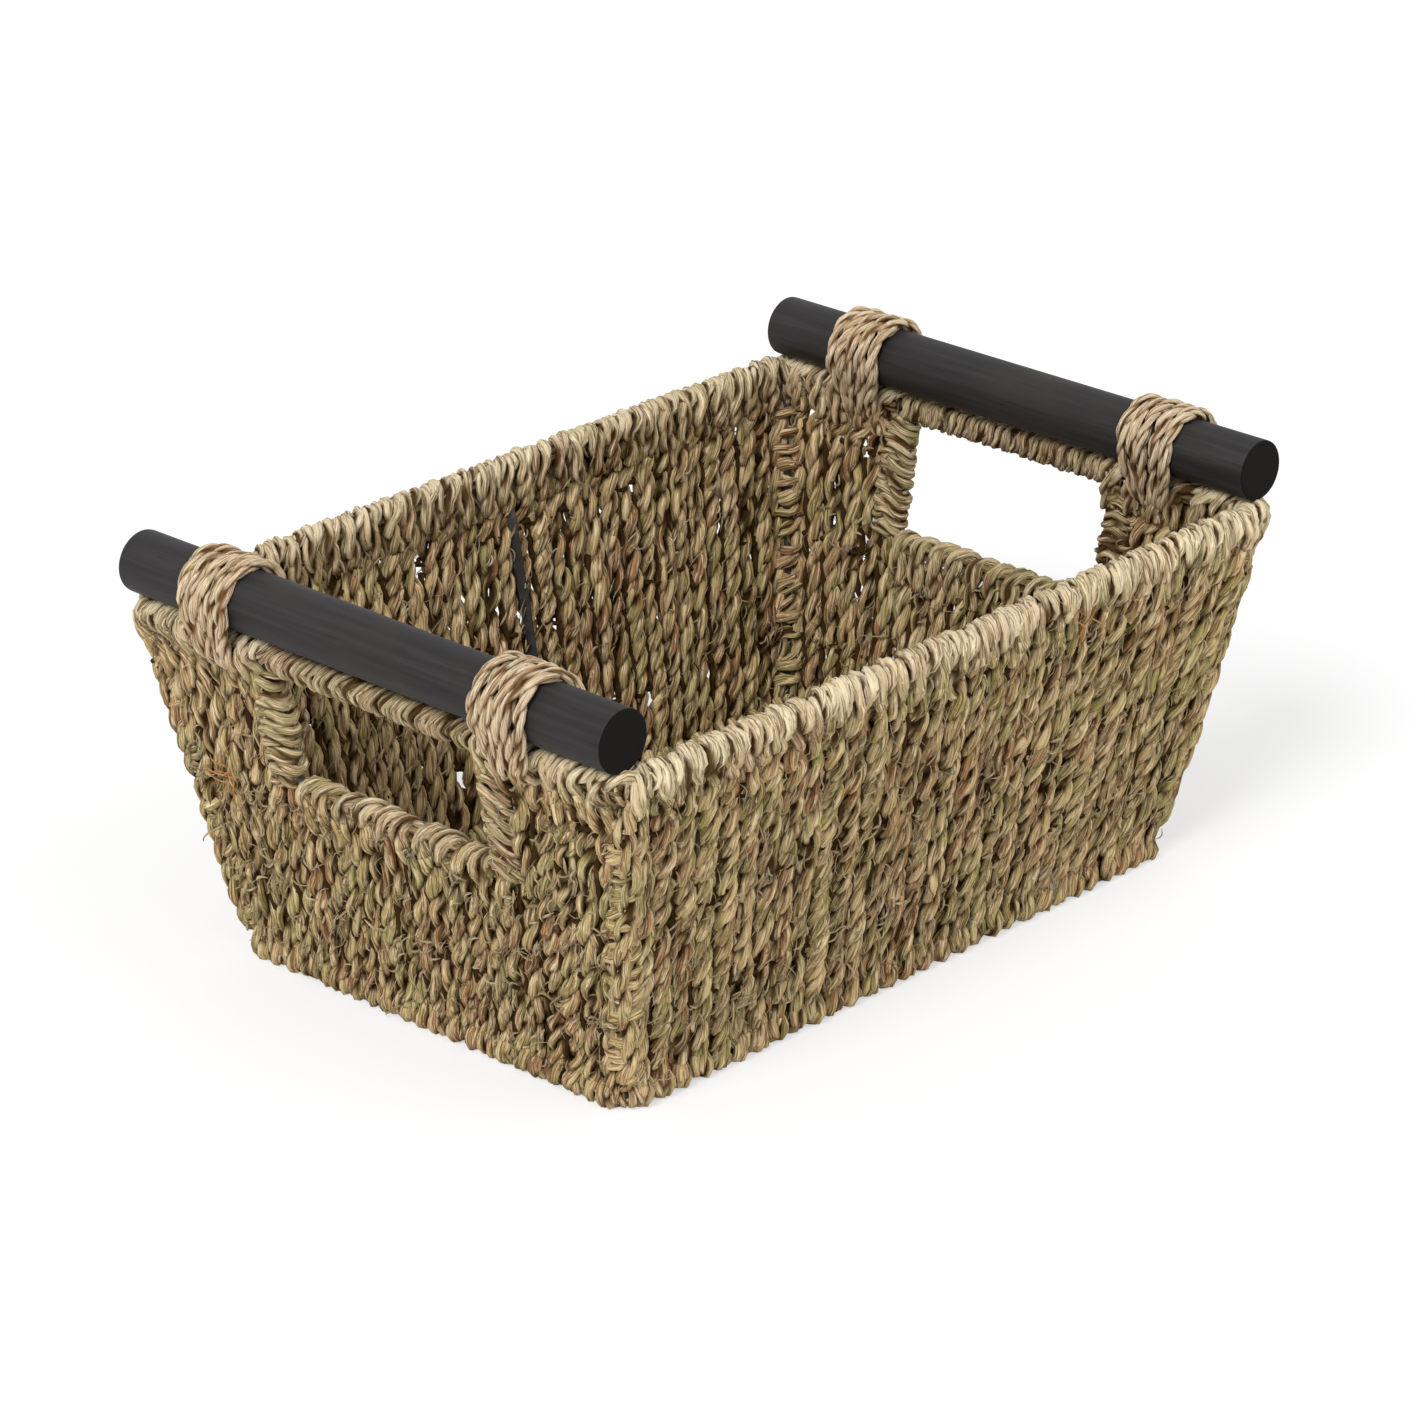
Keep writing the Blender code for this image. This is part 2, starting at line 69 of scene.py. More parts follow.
def wire_reach(name):
    """How far out a level wire's centre line runs along X and Y, and its height."""
    low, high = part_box(name)
    return high[0] - WIRE_RADIUS, high[1] - WIRE_RADIUS, (low[2] + high[2]) / 2


RIM_HALF_X, RIM_HALF_Y, RIM_Z = wire_reach("rim_wire")
BASE_HALF_X, BASE_HALF_Y, BASE_Z = wire_reach("base_wire")
WALL_RISE = RIM_Z - BASE_Z
HOLE_LOW, HOLE_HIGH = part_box("hand_hole_wire_right")
HOLE_HALF, HOLE_Z = HOLE_HIGH[1] - WIRE_RADIUS, HOLE_LOW[2] + WIRE_RADIUS
DOWEL_LOW, DOWEL_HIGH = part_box("dowel_handle_right")
DOWEL_X, DOWEL_Z = (DOWEL_LOW[0] + DOWEL_HIGH[0]) / 2, (DOWEL_LOW[2] + DOWEL_HIGH[2]) / 2
DOWEL_RADIUS = (DOWEL_HIGH[2] - DOWEL_LOW[2]) / 2
HOOP_LOW, HOOP_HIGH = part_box("middle_hoop")
HOOP_X = (HOOP_LOW[0] + HOOP_HIGH[0]) / 2
LASHING_LOW, LASHING_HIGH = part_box("handle_lashing_right_back")
LASHING_Y, LASHING_WIDTH = (LASHING_LOW[1] + LASHING_HIGH[1]) / 2, LASHING_HIGH[1] - LASHING_LOW[1]


def corner_point(half_x, half_y, bend, z):
    """The middle of a wire's bend at the back right corner."""
    inset = bend * (1 - sqrt(0.5))
    return Vector((half_x - inset, half_y - inset, z))


RIM_WIRE = RIM_HALF_X, RIM_HALF_Y, RIM_BEND, RIM_Z
BASE_WIRE = BASE_HALF_X, BASE_HALF_Y, BASE_BEND, BASE_Z
POST_TOP, POST_FOOT = corner_point(*RIM_WIRE), corner_point(*BASE_WIRE)
CORNERS = [(end, face, sign_x, sign_y) for end, sign_x in (("left", -1), ("right", 1))
           for face, sign_y in (("front", -1), ("back", 1))]


# ---- camera
EYE = Vector((-1.350, -1.254, 0.8696))
AIM = Vector((0.000, 0.000, 0.073))

camera = add_object("camera", bpy.data.cameras.new("camera"))
camera.data.lens = 145
camera.data.sensor_width = 36
camera.location = EYE
camera.rotation_euler = (AIM - EYE).to_track_quat("-Z", "Y").to_euler()
SCENE.camera = camera
SCENE.view_settings.view_transform = "Standard"


# ---- node helpers
def node(tree, kind, inputs=None, **settings):
    """Adds a node, sets its properties, and fills or links its inputs."""
    made = tree.nodes.new(kind)
    for key, value in settings.items():
        setattr(made, key, value)
    for key, value in (inputs or {}).items():
        if isinstance(value, bpy.types.NodeSocket):
            tree.links.new(value, made.inputs[key])
        else:
            made.inputs[key].default_value = value
    return made


def maths(tree, operation, a, b=0.0, clamp=False):
    """One maths node, giving its value."""
    return node(tree, "ShaderNodeMath", {0: a, 1: b}, operation=operation, use_clamp=clamp).outputs[0]


def remap(tree, value, low, high, to_low=0.0, to_high=1.0):
    """A value stretched from one range to another, with soft ends."""
    limits = {0: value, 1: low, 2: high, 3: to_low, 4: to_high}
    return node(tree, "ShaderNodeMapRange", limits, interpolation_type="SMOOTHSTEP").outputs[0]


def blend_colours(tree, factor, a, b):
    """Two colours mixed by a factor."""
    return node(tree, "ShaderNodeMix", {0: factor, 6: a, 7: b}, data_type="RGBA").outputs[2]


def scaled(tree, vector, scale):
    """A vector stretched along its three axes."""
    return node(tree, "ShaderNodeVectorMath", {0: vector, 1: scale}, operation="MULTIPLY").outputs[0]


def grain(tree, vector, scale, detail=2.0, roughness=0.5):
    """Noise over a vector, giving its value."""
    return node(tree, "ShaderNodeTexNoise", {"Vector": vector, "Scale": scale, "Detail": detail,
                                             "Roughness": roughness}).outputs[0]


def sight(tree):
    """1 for what the camera sees, straight or in a gloss, and 0 for what only gives light."""
    seen = node(tree, "ShaderNodeLightPath").outputs
    return maths(tree, "MAXIMUM", seen["Is Camera Ray"], seen["Is Glossy Ray"])


# ---- materials
# The last tone is the painted shade colour that darkens creases and fibre grooves
TONE_NAMES = ("Straw", "Olive", "Brown", "Bleached", "Crease")


def make_leaf_group():
    """Dried leaf twisted into a cord: fibres along it, leaves of several colours, painted shade in its
    creases and fibre grooves, and a painted highlight on its fibre ridges.
    """
    group = bpy.data.node_groups.new("twisted_leaf", "ShaderNodeTree")
    for label, way, kind in (*((tone, "INPUT", "Color") for tone in TONE_NAMES),
                             ("Fibre Contrast", "INPUT", "Float"), ("Colour", "OUTPUT", "Color"),
                             ("Height", "OUTPUT", "Float"), ("Roughness", "OUTPUT", "Float")):
        group.interface.new_socket(label, in_out=way, socket_type="NodeSocket" + kind)
    given, out = group.nodes.new("NodeGroupInput").outputs, group.nodes.new("NodeGroupOutput").inputs
    fibre = node(group, "ShaderNodeAttribute", attribute_name="fibre").outputs["Vector"]
    leaf = node(group, "ShaderNodeAttribute", attribute_name="leaf").outputs["Vector"]
    shade, pale, crease_shade = node(group, "ShaderNodeSeparateXYZ", {"Vector": leaf}).outputs
    place = node(group, "ShaderNodeTexCoord").outputs["Object"]

    # Each pattern is drawn out along the leaf: fine fibres, broad blades and patchy stains
    fibres = grain(group, scaled(group, fibre, (60, 2.1, 2.1)), 1.0, 3.0, 0.65)
    blades = grain(group, scaled(group, fibre, (45, 0.75, 0.75)), 1.0, 3.0, 0.6)
    stains = grain(group, scaled(group, fibre, (95, 1.0, 1.0)), 1.7)
    patches = grain(group, place, 55)

    tone = maths(group, "ADD", blades, maths(group, "MULTIPLY", shade, 0.24))
    colour = blend_colours(group, remap(group, tone, 0.34, 0.56), given["Brown"], given["Straw"])
    green = maths(group, "MULTIPLY", remap(group, patches, 0.42, 0.62), remap(group, stains, 0.58, 0.44))
    colour = blend_colours(group, maths(group, "MULTIPLY", green, 0.95), colour, given["Olive"])
    # Lighter where stains bleach the leaf and where the cord is pale
    light = maths(group, "ADD", remap(group, stains, 0.52, 0.66, 0.0, 0.8),
                  maths(group, "MULTIPLY", pale, remap(group, fibres, 0.34, 0.56, 0.35, 1.0)), clamp=True)
    # A painted highlight: the raised fibres drawn lighter towards the bleached tone
    light = maths(group, "MAXIMUM", light, remap(group, fibres, 0.52, 0.62, 0.0, 0.55))
    colour = blend_colours(group, light, colour, given["Bleached"])
    # Painted shade in the low grooves between fibres, as strong as the fibre contrast
    groove_shade = maths(group, "MULTIPLY", remap(group, fibres, 0.50, 0.38), given["Fibre Contrast"])
    colour = blend_colours(group, groove_shade, colour, given["Crease"])
    # Painted shade: the deeper a place lies in the cord, the nearer it comes to the shade colour
    colour = blend_colours(group, remap(group, crease_shade, 0.24, 0.60), colour, given["Crease"])
    group.links.new(colour, out["Colour"])
    group.links.new(fibres, out["Height"])
    group.links.new(remap(group, fibres, 0.3, 0.7, 0.95, 0.75), out["Roughness"])
    return group


LEAF_GROUP = make_leaf_group()


def new_material(name):
    """A material and its node tree."""
    made = bpy.data.materials.new(name)
    made.use_nodes = True
    return made, made.node_tree


def set_surface(tree, specular, colour, roughness, height, strength, distance):
    """Gives a material's shader its colour, its gloss and fine relief from a height."""
    shader = tree.nodes["Principled BSDF"].inputs
    shader["Specular IOR Level"].default_value = specular
    bump = node(tree, "ShaderNodeBump", {"Height": height, "Strength": strength, "Distance": distance})
    for label, value in (("Base Color", colour), ("Roughness", roughness), ("Normal", bump.outputs[0])):
        tree.links.new(value, shader[label])


def leaf_material(name, tones, contrast, relief):
    """Twisted leaf or twine in its own tones, in the order of TONE_NAMES."""
    made, tree = new_material(name)
    leaf = node(tree, "ShaderNodeGroup", node_tree=LEAF_GROUP)
    for label, tone in zip(TONE_NAMES, tones):
        leaf.inputs[label].default_value = (*tone, 1)
    leaf.inputs["Fibre Contrast"].default_value = contrast
    colour, height, roughness = leaf.outputs
    set_surface(tree, 0.08, colour, roughness, height, 1.0, relief)
    return made


# Each set of tones ends with its painted shade colour for creases and grooves
GRASS_TONES = ((0.61, 0.430, 0.205), (0.42, 0.370, 0.135), (0.36, 0.176, 0.078), (0.90, 0.745, 0.475),
               (0.058, 0.028, 0.008))
EDGE_TONES = (*GRASS_TONES[:3], (0.90, 0.760, 0.520), (0.105, 0.056, 0.020))
TWINE_TONES = ((0.87, 0.64, 0.385), (0.80, 0.57, 0.33), (0.60, 0.35, 0.165), (0.97, 0.84, 0.62),
               (0.22, 0.115, 0.046))
RUST_TONES = ((0.56, 0.26, 0.09), (0.46, 0.22, 0.07), (0.34, 0.11, 0.035), (0.68, 0.40, 0.17),
              (0.08, 0.03, 0.010))

SEAGRASS = leaf_material("seagrass_cord", GRASS_TONES, 0.70, 0.0016)
EDGE_GRASS = leaf_material("seagrass_edge_wrap", EDGE_TONES, 0.70, 0.0017)
TWINE = leaf_material("tan_twine", TWINE_TONES, 0.75, 0.0014)
RUSTY_GRASS = leaf_material("rusty_leaf", RUST_TONES, 0.45, 0.0005)

# How far in from its ends a dowel shows its end grain
END_GRAIN_DEPTH = 0.0005


def wood_material():
    """Wood turned round and stained nearly black, with a fine open grain along it."""
    made, tree = new_material("black_stained_wood")
    place = node(tree, "ShaderNodeTexCoord").outputs["Object"]
    streaks = grain(tree, scaled(tree, place, (300, 11, 300)), 1.0, 3.0, 0.6)
    pores = grain(tree, scaled(tree, place, (1300, 60, 1300)), 1.0)
    clouds = grain(tree, place, 36)
    colour = blend_colours(tree, remap(tree, streaks, 0.35, 0.72), (0.017, 0.0155, 0.0155, 1),
                           (0.034, 0.032, 0.032, 1))
    colour = blend_colours(tree, maths(tree, "MULTIPLY", remap(tree, clouds, 0.50, 0.72), 0.5), colour,
                           (0.034, 0.027, 0.024, 1))
    colour = blend_colours(tree, remap(tree, pores, 0.62, 0.74, 0.0, 0.5), colour, (0.007, 0.006, 0.005, 1))
    along = node(tree, "ShaderNodeSeparateXYZ", {"Vector": place}).outputs["Y"]
    end_grain = maths(tree, "GREATER_THAN", maths(tree, "ABSOLUTE", along), DOWEL_HIGH[1] - END_GRAIN_DEPTH)
    colour = blend_colours(tree, end_grain, colour, (0.005, 0.004, 0.0035, 1))
    roughness = maths(tree, "MAXIMUM", remap(tree, streaks, 0.3, 0.7, 0.52, 0.72), end_grain)
    height = maths(tree, "ADD", maths(tree, "MULTIPLY", streaks, 0.4), maths(tree, "MULTIPLY", pores, 0.4))
    set_surface(tree, 0.20, colour, roughness, height, 0.4, 0.0002)
    return made


def wire_material():
    """Black coated steel wire, slightly chalky in places."""
    made, tree = new_material("black_coated_wire")
    place = node(tree, "ShaderNodeTexCoord").outputs["Object"]
    chalk = grain(tree, place, 260, 3.0, 0.6)
    dust = grain(tree, place, 60)
    colour = blend_colours(tree, remap(tree, chalk, 0.50, 0.75, 0.0, 0.7), (0.020, 0.019, 0.018, 1),
                           (0.060, 0.054, 0.046, 1))
    colour = blend_colours(tree, remap(tree, dust, 0.52, 0.72, 0.0, 0.4), colour, (0.075, 0.060, 0.042, 1))
    set_surface(tree, 0.45, colour, remap(tree, chalk, 0.4, 0.7, 0.42, 0.68), chalk, 0.3, 0.0002)
    return made


WOOD = wood_material()
WIRE = wire_material()


# ---- pieces
def mesh_of(bm, name):
    """A new mesh from a finished bmesh."""
    mesh = bpy.data.meshes.new(name)
    bm.to_mesh(mesh)
    bm.free()
    return mesh


def hand_over(name, mesh, material, nodes):
    """Makes a mesh a finished piece that stands in for the named nodes, if any."""
    mesh.materials.append(material)
    piece = add_object(name, mesh)
    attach(piece, "root")
    if nodes:
        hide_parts(*nodes)


# ---- cords
class Leaf:
    """One leaf strand: its shade, and where its pattern starts. Each of its places holds a point on the
    centre line, its radius, the hidden heart that it lies on, how far out from there it is fully lit, and
    how bleached it is."""

    def __init__(self, shade, offset):
        self.shade, self.offset, self.places = shade, offset, []

    def add(self, point, radius, heart, reach, pale):
        self.places.append((point, radius, heart, reach, pale))

    def carried_on(self, arc):
        """A new length of the same leaf that starts where this one ends."""
        fresh = Leaf(self.shade, self.offset + arc)
        fresh.add(*self.places[-1])
        return fresh

    def tipped(self):
        """Its places, with a blunt point added at each end."""
        (head, head_radius, *head_rest), (tail, tail_radius, *tail_rest) = self.places[0], self.places[-1]
        first = head - (self.places[1][0] - head).normalized() * head_radius * 0.6
        final = tail + (tail - self.places[-2][0]).normalized() * tail_radius * 0.6
        return [(first, 0.0, *head_rest), *self.places, (final, 0.0, *tail_rest)]


# Where a station holds what it says, after the three numbers of its point
SPREAD, STACK, RADIUS, TURN_RATE, PALE, FAN = range(3, 9)


def station(point, spread=1.65, stack=1.25, radius=2.9, twist=20, pale=0.0, fan=0.0):
    """A place on a cord: the point, then in mm how far apart its plies lie across and outwards, their
    radius and the length of a turn, then how bleached it is and how far its leaves fan out side by side."""
    return Vector((*point, spread * MM, stack * MM, radius * MM, TURN / (twist * MM), pale, fan))


def coil(turns, start, end, stops=12):
    """The stations of a wound cord: the number of each, its angle and how far along it has come."""
    count = turns * stops
    for i in range(count + 1):
        yield i, TURN * i / stops, start + (end - start) * i / count


def place_of(stop):
    """The point of a station."""
    return Vector(stop[:3])


def distances(points):
    """How far along a line of points each of them is."""
    reached = [0.0]
    for a, b in zip(points, points[1:]):
        reached.append(reached[-1] + (b - a).length)
    return reached


def resample(stops, step):
    """The same cord with evenly spaced stations."""
    reached = distances([place_of(stop) for stop in stops])
    count = max(3, round(reached[-1] / step))
    made, at = [], 0
    for i in range(count + 1):
        goal = reached[-1] * i / count
        while at < len(stops) - 2 and reached[at + 1] < goal:
            at += 1
        span = max(reached[at + 1] - reached[at], 1e-9)
        made.append(stops[at].lerp(stops[at + 1], min(1.0, (goal - reached[at]) / span)))
    return made


def smoothed(stops, rounds):
    """Stations eased towards their neighbours; the two ends stay."""
    for _ in range(rounds):
        inner = [(a + b * 2 + c) * 0.25 for a, b, c in zip(stops, stops[1:], stops[2:])]
        stops = [stops[0], *inner, stops[-1]]
    return stops


# A cord's plies keep turning round each other until its fan is more than this
LEAST_FAN = 0.04


class Cord:
    """Plies twisted round each other, each of them a bundle of leaves."""

    def __init__(self, rng, plies, leaves, width):
        self.plies, self.slots, self.fanned, self.members = plies, None, 0.0, []
        self.turn = rng.uniform(0, TURN)
        self.twist_scale = rng.uniform(0.82, 1.22)
        self.thickness = rng.uniform(0.93, 1.05)
        self.ply_pitch = width * rng.uniform(0.94, 1.04) / plies
        for ply in range(plies):
            shade = rng.uniform(-0.5, 0.5)
            start = rng.uniform(0, TURN)
            for leaf in range(leaves):
                share = rng.uniform(0.48, 0.64)
                self.members.append((ply, start + TURN * leaf / leaves + rng.uniform(-0.3, 0.3), share,
                                     shade + rng.uniform(-0.6, 0.6), rng.uniform(0, 5.0),
                                     rng.uniform(360, 540)))

    def section(self, stop, here, side, out, arc):
        """Every leaf at one station: its centre, its radius, its heart and its reach."""
        spread, stack, fan = stop[SPREAD], stop[STACK], stop[FAN]
        ply_radius = stop[RADIUS] * self.thickness
        if fan > LEAST_FAN and self.slots is None:
            order = sorted(range(self.plies), key=lambda k: cos(self.turn + TURN * k / self.plies))
            self.slots = {ply: slot - (self.plies - 1) / 2 for slot, ply in enumerate(order)}
        placed = []
        for ply, start, share, _, offset, drift in self.members:
            angle = self.turn + TURN * ply / self.plies
            across, rise = cos(angle), sin(angle)
            middle = side * (across * spread) + out * (rise * stack)
            if fan > LEAST_FAN:
                wander = 0.7 * MM * ripple(arc * 60, ply * 5.1, self.twist_scale * 40)
                level = side * (self.slots[ply] * self.ply_pitch + wander) + out * (0.3 * MM + wander)
                middle = middle.lerp(level, fan)
            swell = 1 + 0.20 * ripple(arc * 95, offset * 7, start)
            radius = ply_radius * share * swell
            lean = start + drift * (arc - 0.1 * self.fanned)
            reach = max(ply_radius - radius, 0.0)
            radial = (side * across + out * rise) * (cos(lean) * reach * 0.85)
            sideways = (out * across - side * rise) * (sin(lean) * reach * (1.15 + 0.25 * fan))
            if fan > LEAST_FAN:
                stray = ripple(arc * 110, offset * 13, start)
                sideways += (side * 1.5 + out * 0.8) * (stray * fan * MM)
            full = (spread + ply_radius) * (1 - fan) + ply_radius * 1.15 * fan
            placed.append((here + (middle + radial + sideways), radius, here + middle * fan, full))
        return placed


def lay_cord(stops, across, rng, plies=2, leaves=4, step=1.9, ease=2, width=0.010, cuts=()):
    """Twists a cord along its stations, a step in mm at a time, cut at the given shares of its length: a
    list of leaves for each length. The plies can fan out over the width."""
    stops = smoothed(resample(stops, step * MM), ease)
    cord = Cord(rng, plies, leaves, width)
    marks = [round(cut * (len(stops) - 1)) for cut in cuts]
    arc, last = 0.0, None
    lengths, strands = [], [Leaf(shade, offset) for *_, shade, offset, _ in cord.members]
    for i, stop in enumerate(stops):
        here = place_of(stop)
        ahead, behind = place_of(stops[min(i + 1, len(stops) - 1)]), place_of(stops[max(i - 1, 0)])
        tangent = (ahead - behind).normalized()
        side = (across - tangent * across.dot(tangent)).normalized()
        out = side.cross(tangent)
        if last is not None:
            gone = (here - last).length
            arc += gone
            cord.fanned += gone * stop[FAN]
            pace = 1 + 0.45 * ripple(arc * 45, cord.thickness * 90, cord.twist_scale * 40)
            cord.turn -= gone * stop[TURN_RATE] * cord.twist_scale * pace
        last = here
        for strand, (centre, radius, heart, reach) in zip(strands, cord.section(stop, here, side, out, arc)):
            centre.z = max(centre.z, radius * 0.8)
            strand.add(centre, radius, heart, reach, stop[PALE])
        if i in marks:
            lengths.append(strands)
            strands = [strand.carried_on(arc) for strand in strands]
    return [*lengths, strands]


def as_tubes(name, strands, sides):
    """A mesh of tubes along leaf strands."""
    curve = bpy.data.curves.new(name + "_path", "CURVE")
    curve.dimensions = "3D"
    curve.bevel_depth = 1.0
    curve.bevel_resolution = (sides - 4) // 2
    for strand in strands:
        places = strand.tipped()
        spline = curve.splines.new("POLY")
        spline.points.add(len(places) - 1)
        for knot, (point, radius, *_) in zip(spline.points, places):
            knot.co = (*point, 1)
            knot.radius = radius
    holder = add_object(name + "_path", curve)
    bpy.context.view_layer.update()
    graph = bpy.context.evaluated_depsgraph_get()
    mesh = bpy.data.meshes.new_from_object(holder.evaluated_get(graph))
    mesh.name = name
    bpy.data.objects.remove(holder)
    bpy.data.curves.remove(curve)
    return mesh


# How fast the fibres wind round a leaf, in radians a metre, and the least height of anything over the floor
FIBRE_LAY, LEAST_HEIGHT = 40.0, 0.0001


def sweep(name, strands, material, nodes=(), sides=6):
    """Turns leaf strands into one closed piece: lumpy leaves whose attributes hold the direction of their
    fibres, their shade and bleaching, and how deep each place lies, which the material paints as shade."""
    mesh = as_tubes(name, strands, sides)
    fibre = mesh.attributes.new("fibre", "FLOAT_VECTOR", "POINT")
    leaf = mesh.attributes.new("leaf", "FLOAT_VECTOR", "POINT")
    corners, fibres, tones = [], [], []
    for strand in strands:
        arc, last = strand.offset, None
        for point, _, heart, reach, pale in strand.tipped():
            if last is not None:
                arc += (point - last).length
            last = point
            for k in range(sides):
                angle = TURN * k / sides + FIBRE_LAY * arc
                x, y = cos(angle), sin(angle)
                lump, snag = ripple(arc * 170, x * 1.5, y * 1.5), ripple(arc * 430, x * 2.5, y * 2.5)
                corner = mesh.vertices[len(corners) // 3].co
                corner = point + (corner - point) * (1 + 0.26 * lump + 0.22 * snag)
                corners += (corner.x, corner.y, max(corner.z, LEAST_HEIGHT))
                fibres += (arc, x, y)
                # The third value is how deep the place lies in its cord; the material darkens deep places as
                # painted shade
                tones += (strand.shade, pale, 1 - (corner - heart).length / reach)
    mesh.vertices.foreach_set("co", corners)
    fibre.data.foreach_set("vector", fibres)
    leaf.data.foreach_set("vector", tones)
    weld = bmesh.new()
    weld.from_mesh(mesh)
    bmesh.ops.remove_doubles(weld, verts=weld.verts, dist=1e-6)
    weld.to_mesh(mesh)
    weld.free()
    mesh.polygons.foreach_set("use_smooth", [True] * len(mesh.polygons))
    hand_over(name, mesh, material, nodes)


# ---- walls
def ring(outward, radius, degrees):
    """The way from a level wire's centre to a place round it; 0 degrees is outward and 90 is up."""
    a = radians(degrees)
    return UP * (radius * sin(a)) + outward * (radius * cos(a))


# How far short of its corners a wall's columns stop
END_GAP = 1.5 * MM


class Wall:
    """One side of the basket: the way it faces, how far out it stands and its half width (each at the base
    and at the rim), its columns, the length of a turn of their cords in mm, and how far they slant."""

    def __init__(self, name, outward, reach, span, columns, twist, slant):
        self.name, self.outward = name, Vector(outward)
        self.along = UP.cross(self.outward)
        self.reach, self.span, self.columns = reach, span, columns
        self.twist, self.slant = twist, slant
        self.is_end = name in ("left", "right")

    def half_span(self, z):
        """Half the width that the columns fill at a height."""
        share = (z - BASE_Z) / WALL_RISE
        return self.span[0] + (self.span[1] - self.span[0]) * share - END_GAP

    def point(self, u, z, off=0.0, slip=0.0):
        """A point at a share of the half width and a height, moved outwards and along the wall."""
        share = (z - BASE_Z) / WALL_RISE
        reach = self.reach[0] + (self.reach[1] - self.reach[0]) * share
        aside = self.slant * (1 - 2 * share) * max(0.0, 1 - u * u) * (1 + u)
        level = self.outward * (reach + off) + self.along * ((u + aside) * self.half_span(z))
        return level + UP * z + self.along * slip

    def pitch(self, z):
        """The width of one column at a height."""
        return 2 * self.half_span(z) / self.columns

    def around(self, u, centre_z, radius, degrees, shift=0.0):
        """A point round a level wire at a height."""
        return self.point(u, centre_z) + ring(self.outward, radius, degrees) + self.along * shift

    def beside_hole(self, u, margin):
        """Whether a share of the half width, at the rim, is within the hand hole and a margin."""
        return self.is_end and abs(u) * self.half_span(RIM_Z) < HOLE_HALF + margin

    def in_hole(self, u, z, margin=0.0):
        """Whether a place is in the hand hole or on the wraps below it."""
        return self.is_end and HOLE_Z - 0.004 < z and abs(u) * self.half_span(z) < HOLE_HALF + margin


X_SPANS, Y_SPANS = (BASE_HALF_X, RIM_HALF_X), (BASE_HALF_Y, RIM_HALF_Y)
FRONT = Wall("front", (0, -1, 0), Y_SPANS, X_SPANS, 30, 17.5, 0.030)
BACK = Wall("back", (0, 1, 0), Y_SPANS, X_SPANS, 34, 18.0, 0.0)
LEFT = Wall("left", (-1, 0, 0), X_SPANS, Y_SPANS, 22, 20.0, 0.0)
RIGHT = Wall("right", (1, 0, 0), X_SPANS, Y_SPANS, 22, 20.0, 0.0)
WALLS = [FRONT, BACK, LEFT, RIGHT]

# The rows that the columns sway round, how far above and below each row they do, and the height between
# two stations of a column
ROW_HEIGHTS, ROW_REACH, COLUMN_STEP = [0.034, 0.072, 0.110], 0.012, 0.006

# The width of the column that cord sizes are given for
COLUMN_WIDTH = 0.0100

# How far from a wire's centre the middle of each wrap runs, and the leaves laid along it under the wraps
RIM_WRAP_REACH, BASE_WRAP_REACH, CORE_REACH = 0.0042, 0.0034, 0.0021


def column_station(wall, u, z, off, slip=0.0, **more):
    """A place on a column, whose cord is as wide as its share of the wall."""
    scale = wall.pitch(z) / COLUMN_WIDTH
    more.setdefault("twist", wall.twist)
    return station(wall.point(u, z, off, slip), 2.0 * scale, 1.35, 3.3 * scale, **more)


# The foot of every column: the height and reach that it turns round, its angle there, its stack and radius
FOOT_PATH = ((0.0032, -0.010, 0, 0.2, 2.8), (0.0030, -0.004, 0, 0.2, 2.8), (BASE_Z, 0.0034, -60, 0.4, 2.9),
             (BASE_Z, 0.0036, -25, 0.6, 3.0), (BASE_Z, 0.0036, 10, 0.9, 3.1), (BASE_Z, 0.0036, 45, 1.0, 3.1))


def column_stops(wall, u, index, top, rng):
    """The cord of one column from under the base wire to just below its top wire: out from under the
    base, round the wire, then up the wall with a sway at each row."""
    stops = [station(wall.around(u, z, reach, degrees), 1.7, stack, radius)
             for z, reach, degrees, stack, radius in FOOT_PATH]
    drift = rng.uniform(0, 50)
    z = 0.0115
    while z < top - 0.012:
        row = min(range(len(ROW_HEIGHTS)), key=lambda r: abs(ROW_HEIGHTS[r] - z))
        closeness = max(0.0, 1 - abs(ROW_HEIGHTS[row] - z) / ROW_REACH)
        sway = 1.3 * MM * closeness * (1 if (row + index) % 2 else -1)
        slip = 1.5 * MM * ripple(z * 38, drift, 0) + rng.uniform(-0.25, 0.25) * MM
        off = sway + rng.uniform(-0.3, 0.3) * MM
        if not wall.is_end and abs(wall.point(u, z).x - HOOP_X) < 0.009:
            off += 0.9 * MM
        stops.append(column_station(wall, u, z, off, slip))
        z += COLUMN_STEP
    return stops


